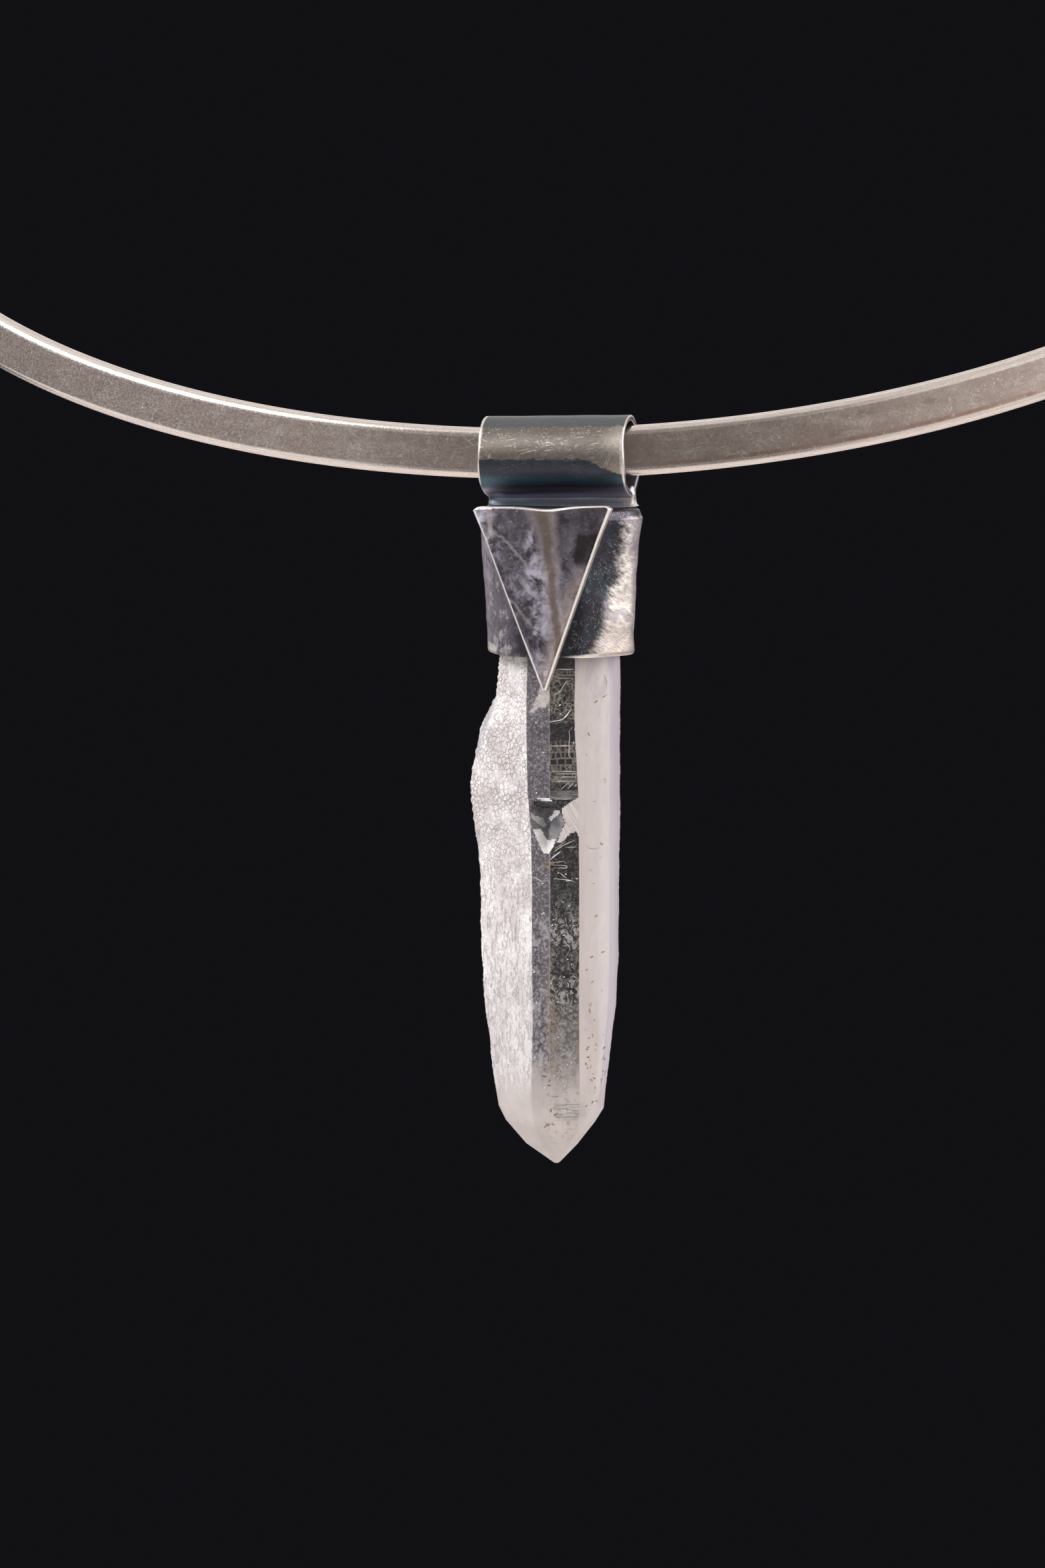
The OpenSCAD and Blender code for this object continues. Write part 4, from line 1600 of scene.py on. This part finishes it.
def make_clear():
    """The face right of the ridge: dark and clear, with etched marks and small clouds."""
    material, place = new_quartz("clear", 0.35, 0.10)
    x, _, z = parts_of(place)
    wisps = use_group(
        WISPS, place, Size=1.0, Cover=0.03, Specks=0.26,
        Clear=(0.023, 0.022, 0.025), Milk=(0.56, 0.53, 0.52),
    )
    # Above the chip, a light brown net of threads lies over the dark inside. It is close
    # under the cap. Lower down it leaves a dark window free, and then rows of small ones.
    net = fade(cells(place + cloudy(place, 1.2, 3.0) * 0.7, 2.7, "DISTANCE_TO_EDGE"), 0.17, 0.02)
    net = net * fade(cloudy(place, 1.3, 3.0, 0.65), 0.40, 0.58, 0.15, 1.0)
    under_cap = fade(z, -16.3, -16.1)
    window = fade(z, -20.3, -20.5) * fade(z, -21.9, -21.6)
    etched = fade(z, -21.8, -22.1) * fade(z, -24.3, -24.0)
    windows, frames = make_frets(place + cloudy(place, 1.5) * 0.25)
    free = larger(under_cap * 0.8, window * 0.85, windows * etched)
    grid = level_streaks(place, z, -16.75, (0.3, 1.0))
    bundles = level_streaks(place, z, -24.55, (0.08, 0.1))
    drawn = larger(larger(grid, bundles) * 0.8, frames * etched * 0.5)
    net = larger(net * (1.0 - free), drawn) * fade(z, -25.5, -24.9, 0.15, 1.0)
    net = net * fade(z, -26.2, -25.8)
    hazy = fade(cloudy(place * (0.5, 1.0, 3.0), 1.4, 4.0, 0.65), 0.38, 0.64, 0.1, 0.85)

    # Below it come curly white threads and clouds, most of all at two heights.
    threads = use_group(THREADS, place * (1.2, 1.0, 0.9), Size=1.5, Width=0.045)
    wispy = fade(cloudy(place * (1.3, 1.0, 1.0), 1.2, 4.0, 0.72, 1.2), 0.50, 0.64)
    crowded = larger(fade(abs(z + 36.9), 2.0, 0.3), fade(abs(z + 41.4), 2.0, 0.3))
    milk = larger(threads, wispy * 0.72) * (crowded * 0.45 + 0.55)
    haze = fade(z, -41.0, -45.0)
    pebbles = larger(fade(cells(place, 3.0), 0.62, 0.25) * 0.4, wispy * 0.6)
    grains = fade(cloudy(place, 2.4, 3.0, 0.7), 0.46, 0.60)
    rusty_edge = fade(abs(x - 1.48), 0.34, 0.05) * grains * fade(z, -35.0, -38.0, 0.15, 0.8)
    colour = layered(
        wisps,
        (free * 0.8, (0.022, 0.021, 0.024)),
        (net * 0.70, (0.54, 0.48, 0.405)),
        (fade(abs(z + 25.95), 0.42, 0.16) * hazy, (0.50, 0.485, 0.50)),
        (milk * fade(z, -32.5, -35.5), (0.78, 0.76, 0.75)),
        (haze * 0.45, (0.42, 0.40, 0.40)),
        (pebbles * haze, (0.74, 0.71, 0.69)),
        (rusty_edge, (0.40, 0.29, 0.20)),
        (use_group(RIDGE_RUST, place), (0.48, 0.37, 0.275)),
    )
    colour = point_over(place, colour, -45.0, -50.2, Tone=(0.92, 0.842, 0.814))
    return coat(material, colour, cloudy(place, 3.0, 3.0) - net, 0.01)


def make_satin():
    """The right face: smooth and cream, with soft streaks, lavender stains near the cap, and a
    painted highlight towards the step.
    """
    material, place = new_quartz("satin", 0.12, 0.30)
    x, _, z = parts_of(place)
    wisps = use_group(
        WISPS, place * (0.7, 1.0, 0.45), Size=0.9, Cover=0.8, Specks=0.16,
        Clear=(0.575, 0.515, 0.505), Milk=(0.72, 0.665, 0.66),
    )
    beside_net = fade(x, 1.85, 1.50, 0.0, 0.18) * fade(abs(z + 27.9), 1.5, 2.2)
    streaks = fade(cloudy(turned(place, -0.25) * (2.2, 1.0, 0.5), 0.9, 3.0, 0.6), 0.46, 0.62)
    colour = layered(
        wisps,
        # Painted highlight: the face turns lighter towards the step.
        (fade(x, 2.9, 3.4, 0.0, 0.45), (0.80, 0.75, 0.78)),
        (beside_net, (0.60, 0.50, 0.43)),
        (streaks * fade(z, -23.0, -15.5, 0.1, 0.65), (0.47, 0.43, 0.49)),
    )
    height = cloudy(place * (1, 1, 0.5), 1.6, 4.0, 0.6)
    return coat(material, point_over(place, colour, -48.0, -51.5), height, 0.025)


def make_cream():
    """The cream sweep beside the chip, faintly striped."""
    material, place = new_quartz("cream", 0.05, 0.32)
    fibres = cloudy(turned(place, 0.55) * (6.0, 1.0, 0.4), 1.0)
    colour = mixed(fade(fibres, 0.35, 0.65), (0.61, 0.55, 0.535), (0.76, 0.705, 0.69))
    return coat(material, colour, fibres, 0.02)


def make_lilac():
    """The outermost strip on the right, and the back: lilac white, with a painted shade that
    darkens the strip away from the step.
    """
    material, place = new_quartz("lilac", 0.15, 0.28)
    x, _, z = parts_of(place)
    wisps = use_group(
        WISPS, place * (1.0, 1.0, 0.25), Size=0.9, Cover=0.8, Specks=0.15,
        Clear=(0.57, 0.53, 0.595), Milk=(0.74, 0.70, 0.765),
    )
    # Painted shade: the strip darkens from the step out to its right edge.
    outer = fade(x, 4.0, 4.8, 0.0, 0.6) * fade(z, -47.0, -42.0)
    colour = point_over(place, mixed(outer, wisps, (0.47, 0.43, 0.49)), -49.0, -52.5)
    return coat(material, colour, cloudy(place, 1.5, 3.0), 0.02)


def make_chipped():
    """The chip's fresh facets, each with its own grey that is partly painted light and shade, and
    pale ripples where the stone broke.
    """
    material, place = new_quartz("chipped", 0.30, 0.14)
    # Each facet's tone is partly painted light and shade: how the facet catches the light, not only
    # its grey.
    tone = painted(material, "tone")
    facet = layered(
        (0.022, 0.022, 0.026),
        (fade(tone, 0.0, 0.5), (0.150, 0.145, 0.170)),
        (fade(tone, 0.5, 1.0), (0.46, 0.46, 0.47)),
    )
    facet = facet * fade(cloudy(place, 1.0, 3.0), 0.3, 0.7, 0.65, 1.3)
    ripples = use_group(THREADS, place, Size=0.8, Width=0.035)
    return coat(material, mixed(ripples * 0.45, facet, (0.52, 0.52, 0.53)))


def make_flaw():
    """The chip's bright facets, whose white is partly painted light, and the fine cracks and
    flecks, which scatter light.
    """
    material, place = new_quartz("flaw", 0.10, 0.30)
    soft = fade(cloudy(place, 1.2, 3.0), 0.3, 0.7)
    return coat(material, mixed(soft, (0.60, 0.58, 0.56), (0.92, 0.91, 0.91)))


# %% [markdown]
# Now the skin gets its finishes, face by face. The side that a face is on decides most of
# them. The chip with its facets and the cream sweep beside it lie across two sides, so they
# are cut out by their own outlines.

# %% Finishes on the crystal
MAKERS = {
    "frosted": make_frosted, "veil": make_veil, "clear": make_clear, "satin": make_satin,
    "cream": make_cream, "lilac": make_lilac, "chipped": make_chipped, "flaw": make_flaw,
}
FINISHES = list(MAKERS)
SIDE_FINISH = {
    LEFT_SIDE: "frosted", VEIL_SIDE: "veil", CLEAR_SIDE: "clear", SATIN_SIDE: "satin",
    STRIP_SIDE: "lilac", BACK_RIGHT: "lilac", BACK: "veil", BACK_LEFT: "frosted",
}
# Outlines on the front, as (across, down) in millimetres.
FRONT_PATCHES = (
    ("cream", ((1.70, 26.05), (1.70, 29.60), (1.30, 28.80), (0.84, 28.95), (0.14, 29.72),
               (-0.17, 29.60), (-0.09, 29.40), (0.45, 28.15), (0.26, 27.60), (0.22, 27.00),
               (1.35, 26.18))),
    # The flaw patches are the chip's bright facets, white partly as painted light.
    ("flaw", ((-1.80, 26.20), (-0.88, 26.14), (-0.45, 26.48), (-1.19, 26.50))),
    ("flaw", ((-0.41, 27.20), (0.06, 27.14), (0.02, 27.44), (-0.64, 28.03), (-0.88, 27.83),
              (-0.52, 27.60))),
    ("flaw", ((-2.00, 28.70), (-1.42, 28.64), (-0.95, 29.55), (-0.25, 29.35), (-0.41, 29.85),
              (-0.80, 30.50), (-1.25, 30.45), (-1.85, 29.17))),
)
# The chip's facets in the same way, and how light each one is, from 0 to 1, which is partly
# painted light and shade as each facet catches the light.
CHIP_FACET_SHADING = (
    (0.10, ((-2.00, 26.40), (0.30, 26.40), (0.55, 27.20), (0.20, 27.35), (-0.75, 27.05),
            (-1.90, 26.95))),
    (0.95, ((-2.30, 27.30), (-1.90, 27.62), (-1.30, 27.80), (-0.95, 28.40), (-1.25, 28.55),
            (-2.10, 27.90))),
    (0.62, ((-2.50, 27.85), (-1.85, 28.20), (-1.30, 28.60), (-1.55, 28.95), (-2.50, 29.30))),
    (0.70, ((-0.60, 28.10), (0.15, 27.40), (0.60, 28.15), (-0.20, 29.50), (-0.85, 29.60),
            (-0.75, 28.60))),
    (0.42, ((-1.20, 26.95), (0.20, 27.25), (-0.50, 27.75), (-0.90, 28.30), (-1.30, 27.75))),
)
PLAIN_FACET_SHADING = 0.30
LEAST_CHIP = 0.02  # where the hollow is shallower, the face keeps its side's finish


def is_inside(outline, x, down):
    """Whether a point lies inside a closed outline."""
    inside = False
    for (x0, d0), (x1, d1) in zip(outline, outline[1:] + outline[:1]):
        if (d0 > down) != (d1 > down) and x < x0 + (x1 - x0) * (down - d0) / (d1 - d0):
            inside = not inside
    return inside


def inside_of(outlines, x, down, otherwise):
    """What goes with the first of some outlines that a point lies inside."""
    return next((what for what, outline in outlines if is_inside(outline, x, down)), otherwise)


def finish_of(side, x, down, y):
    """The name of the finish of a face."""
    plain = SIDE_FINISH[side]
    if y < 0 and side <= CLEAR_SIDE and x > -2.6 and 17 < down < 31:
        chipped = chip_hollow(np.float64(x), down) > LEAST_CHIP
        return inside_of(FRONT_PATCHES, x, down, "chipped" if chipped else plain)
    return plain


def make_crystal():
    """The quartz point, with a finish for each of its sides."""
    points, faces, side_of_face = make_crystal_shape()
    piece = make_object("quartz_point", points, faces, merge=False)
    for maker in MAKERS.values():
        piece.data.materials.append(maker())
    facet_shading = []
    for polygon, side in zip(piece.data.polygons, side_of_face):
        x, y, z = polygon.center
        name = finish_of(int(side), x, -z, y)
        polygon.material_index = FINISHES.index(name)
        polygon.use_smooth = name not in ("chipped", "flaw")
        facet_shading.append(inside_of(CHIP_FACET_SHADING, x, -z, PLAIN_FACET_SHADING))
    paint_points(piece, "tone", facet_shading, "FACE")
    return piece


crystal = make_crystal()

# %% [markdown]
# ## Marks that are scattered
#
# Small marks follow a rule: they lie anywhere on a surface, each with its own size and turn,
# and more of them where the surface says so. The next tree scatters them. It places points
# on the faces, puts a small flat plate on each, tilted with the surface, and keeps the
# plates only. The same tree makes the pale flecks on the clear faces and the brown pits on
# the cream face and along the ridge. A fixed seed keeps them where they are.

# %% Scattered marks


def drawn_by_lot(tree, kind, **inputs):
    """A value for each point, drawn by lot between Min and Max."""
    made = add(tree, "FunctionNodeRandomValue", {"data_type": kind})
    for name, value in inputs.items():
        plug(value, next(s for s in made.inputs if s.name == name and s.enabled))
    return Value(next(s for s in made.outputs if s.enabled))


def make_marks_tree():
    """Geometry Nodes: small flat plates, scattered over a surface."""
    tree, given, out = new_tree(
        "scattered marks",
        {"Geometry": "Geometry", "Density": 1.0, "Corners": 6, "Smallest": 0.03, "Largest": 0.1,
         "Slender": 0.5, "Lift": 0.012, "Seed": 1, "Material": "Material"},
        {"Geometry": "Geometry"}, "GeometryNodeTree",
    )
    scatter = add(
        tree, "GeometryNodeDistributePointsOnFaces", Mesh=given["Geometry"],
        Density=recalled(tree, "marked") * given["Density"], Seed=given["Seed"],
    )
    disc = add(
        tree, "GeometryNodeMeshCircle", {"fill_type": "NGON"},
        Vertices=given["Corners"], Radius=1.0,
    )
    size = drawn_by_lot(
        tree, "FLOAT", Min=given["Smallest"], Max=given["Largest"], Seed=given["Seed"])
    turn = drawn_by_lot(
        tree, "FLOAT_VECTOR", Min=(-0.12, -0.12, 0.0), Max=(0.12, 0.12, math.tau))
    marks = add(
        tree, "GeometryNodeInstanceOnPoints", Points=scatter, Instance=disc,
        Rotation=scatter.outputs["Rotation"], Scale=place_from(size, size * given["Slender"], 1.0),
    )
    marks = add(tree, "GeometryNodeRotateInstances", Instances=marks, Rotation=turn)
    lift = place_from(z=given["Lift"])
    marks = add(tree, "GeometryNodeTranslateInstances", Instances=marks, Translation=lift)
    finish_shape(tree, marks, given["Material"], out)
    return tree


MARKS = make_marks_tree()


def scatter_marks(name, density_of, **values):
    """Scatters marks over a copy of the crystal's skin, as closely as density_of says."""
    base = link(crystal.data.copy(), name)
    co = np.zeros(len(base.data.vertices) * 3, np.float32)
    base.data.vertices.foreach_get("co", co)
    paint_points(base, "marked", density_of(*co.reshape(-1, 3).T))
    run_nodes(base, MARKS, CRYSTAL, **values)
    return finish_piece(base)


def between(value, low, high):
    """Whether numbers lie between two others, as 0 or 1."""
    return ((value > low) & (value < high)).astype(float)


def fleck_density(x, y, z):
    """Flecks lie on the front's clear faces, mostly below the chip, and fade towards the point."""
    front = between(y, -9, -3.0) * between(x, -2.0, 1.5)
    return front * (between(z, -49, -31.5) + between(z, -26, -17) * 0.35)


def pit_density(x, y, z):
    """Pits lie low on the cream face, and a few along the ridge near the point."""
    face = between(x, 2.0, 3.7) * between(y, -4.5, -0.5)
    ridge = between(x, -1.2, 0.0) * between(y, -9, -1.5) * between(z, -52.5, -43)
    return face * (between(z, -50.5, -40.5) + between(z, -40.5, -16) * 0.12) + ridge * 1.4


def make_rust():
    """Brown iron stain in small pits."""
    material = new_material("rust_stain", Roughness=0.6)
    shade = fade(cloudy(quartz_place(material), 2.0), 0.3, 0.7)
    return coat(material, mixed(shade, (0.16, 0.1, 0.06), (0.4, 0.29, 0.2)))


flaw = crystal.data.materials["quartz_flaw"]
rust = make_rust()
scatter_marks(
    "quartz_flecks", fleck_density,
    Density=1.3, Corners=7, Smallest=0.03, Largest=0.11, Slender=0.5, Seed=5, Material=flaw,
)
scatter_marks(
    "quartz_pits", pit_density,
    Density=1.6, Corners=8, Smallest=0.08, Largest=0.25, Slender=0.32, Seed=9, Material=rust,
)

# %% [markdown]
# ## Cracks and etched lines
#
# A few lines on the front are too particular for a rule: a fan of cracks under the chip, one
# fine crack right across, and bundles of level growth lines. Each is a short list of places,
# and becomes a thin ribbon that lies on the crystal's front.

# %% Cracks and lines
RIBBON_STEP = 0.12
RIBBON_LIFT = 0.018  # in front of the crystal's face
LEVEL_LINES = (
    # from, to, down, width
    (-0.15, 1.10, 16.25, 0.10), (-0.35, 1.05, 16.92, 0.05), (-0.72, 0.95, 22.15, 0.07),
    (-0.55, 1.35, 24.12, 0.06), (-0.30, 1.40, 24.32, 0.05), (-0.45, 1.42, 24.55, 0.06),
    (-0.62, 1.40, 24.90, 0.05), (-0.42, 0.95, 26.26, 0.06), (0.40, 1.30, 30.00, 0.05),
)
CRACKS = (
    # width, then places as (across, down)
    (0.07, ((-0.30, 18.15), (0.10, 17.90), (0.35, 17.45), (0.62, 17.10))),
    (0.13, ((-0.72, 20.28), (-0.10, 20.20), (0.25, 20.10), (0.55, 19.80), (0.95, 19.30))),
    (0.06, ((1.02, 20.70), (0.75, 21.00), (0.80, 21.60), (0.74, 22.10), (0.74, 22.90),
            (1.08, 23.30))),
    (0.05, ((0.15, 25.50), (0.75, 24.95))),
    (0.05, ((0.60, 25.50), (1.10, 25.00))),
    (0.09, ((-0.42, 30.35), (0.20, 29.92), (1.20, 29.45))),
    (0.06, ((-0.30, 30.10), (0.50, 29.55))),
    (0.12, ((-0.72, 31.00), (-0.30, 30.62), (0.10, 30.35))),
    (0.05, ((-0.50, 31.40), (0.30, 31.42), (0.62, 31.48), (0.55, 31.62), (-0.45, 31.62))),
    (0.05, ((-0.45, 31.18), (0.40, 31.12), (0.52, 31.28))),
    (0.06, ((-2.05, 32.35), (-1.40, 32.68), (-0.80, 32.62))),
    (0.07, ((-0.45, 32.45), (0.70, 32.55), (1.32, 32.75))),
    (0.05, ((-0.10, 31.90), (0.60, 32.45))),
    (0.05, ((0.10, 29.35), (0.62, 28.40), (1.20, 27.50))),
    (0.05, ((0.28, 29.45), (0.85, 28.55), (1.30, 28.00))),
    (0.04, ((-0.02, 29.15), (0.42, 28.35), (0.80, 27.60))),
)
MARKS_ON_CREAM = (
    (0.04, ((2.05, 29.90), (2.30, 30.20), (2.80, 30.30), (3.20, 30.20))),
    (0.09, ((3.30, 18.60), (3.55, 18.52), (3.72, 18.38))),
    (0.05, ((3.45, 16.80), (3.62, 17.30), (3.70, 17.95))),
    (0.04, ((3.36, 25.05), (3.46, 24.92), (3.60, 25.00), (3.60, 25.18), (3.46, 25.25))),
    (0.05, ((2.62, 26.62), (2.86, 26.60))),
)


def front_depth(x, down):
    """How far back the crystal's front lies at a place."""
    across, back = crystal_corners(down)[:5].T
    return float(np.interp(x, across, back) + chip_hollow(np.float64(x), down))


def ribbon(width, places):
    """A thin, slightly uneven ribbon along a line on the front: its points and faces."""
    line = []
    for (x0, d0), (x1, d1) in zip(places, places[1:]):
        count = max(1, math.ceil(math.hypot(x1 - x0, d1 - d0) / RIBBON_STEP))
        line += [(x0 + (x1 - x0) * i / count, d0 + (d1 - d0) * i / count) for i in range(count)]
    line = np.array(line + [places[-1]], float)
    points = []
    for i, ((x, down), (side_x, side_d)) in enumerate(zip(line, beside(line))):
        taper = min(1.0, 0.35 + 2.2 * min(i, len(line) - 1 - i) / len(line))
        uneven = 0.75 + 0.5 * noise.noise(Vector((x * 3, down * 3, 1.7)))
        sway = 0.02 * noise.noise(Vector((x * 2, down * 2, 7.1)))
        for sign in (-1, 1):
            reach = sign * width / 2 * taper * uneven + sway
            edge_x, edge_d = x + side_x * reach, down + side_d * reach
            points.append((edge_x, front_depth(edge_x, edge_d) - RIBBON_LIFT, -edge_d))
    return points, skin_faces(len(line), 2, closed=False)


def make_lines(name, lines, material):
    """Lines on the crystal's front, as one piece."""
    piece = make_object(name, *joined(ribbon(width, places) for width, places in lines), CRYSTAL)
    return finish_piece(piece, material)


level_lines = tuple((width, ((x0, down), (x1, down))) for x0, x1, down, width in LEVEL_LINES)
make_lines("quartz_cracks", level_lines + CRACKS, flaw)
make_lines("quartz_marks", MARKS_ON_CREAM, rust)
crystal.data.transform(CRYSTAL)
finish_piece(crystal)
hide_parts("crystal")
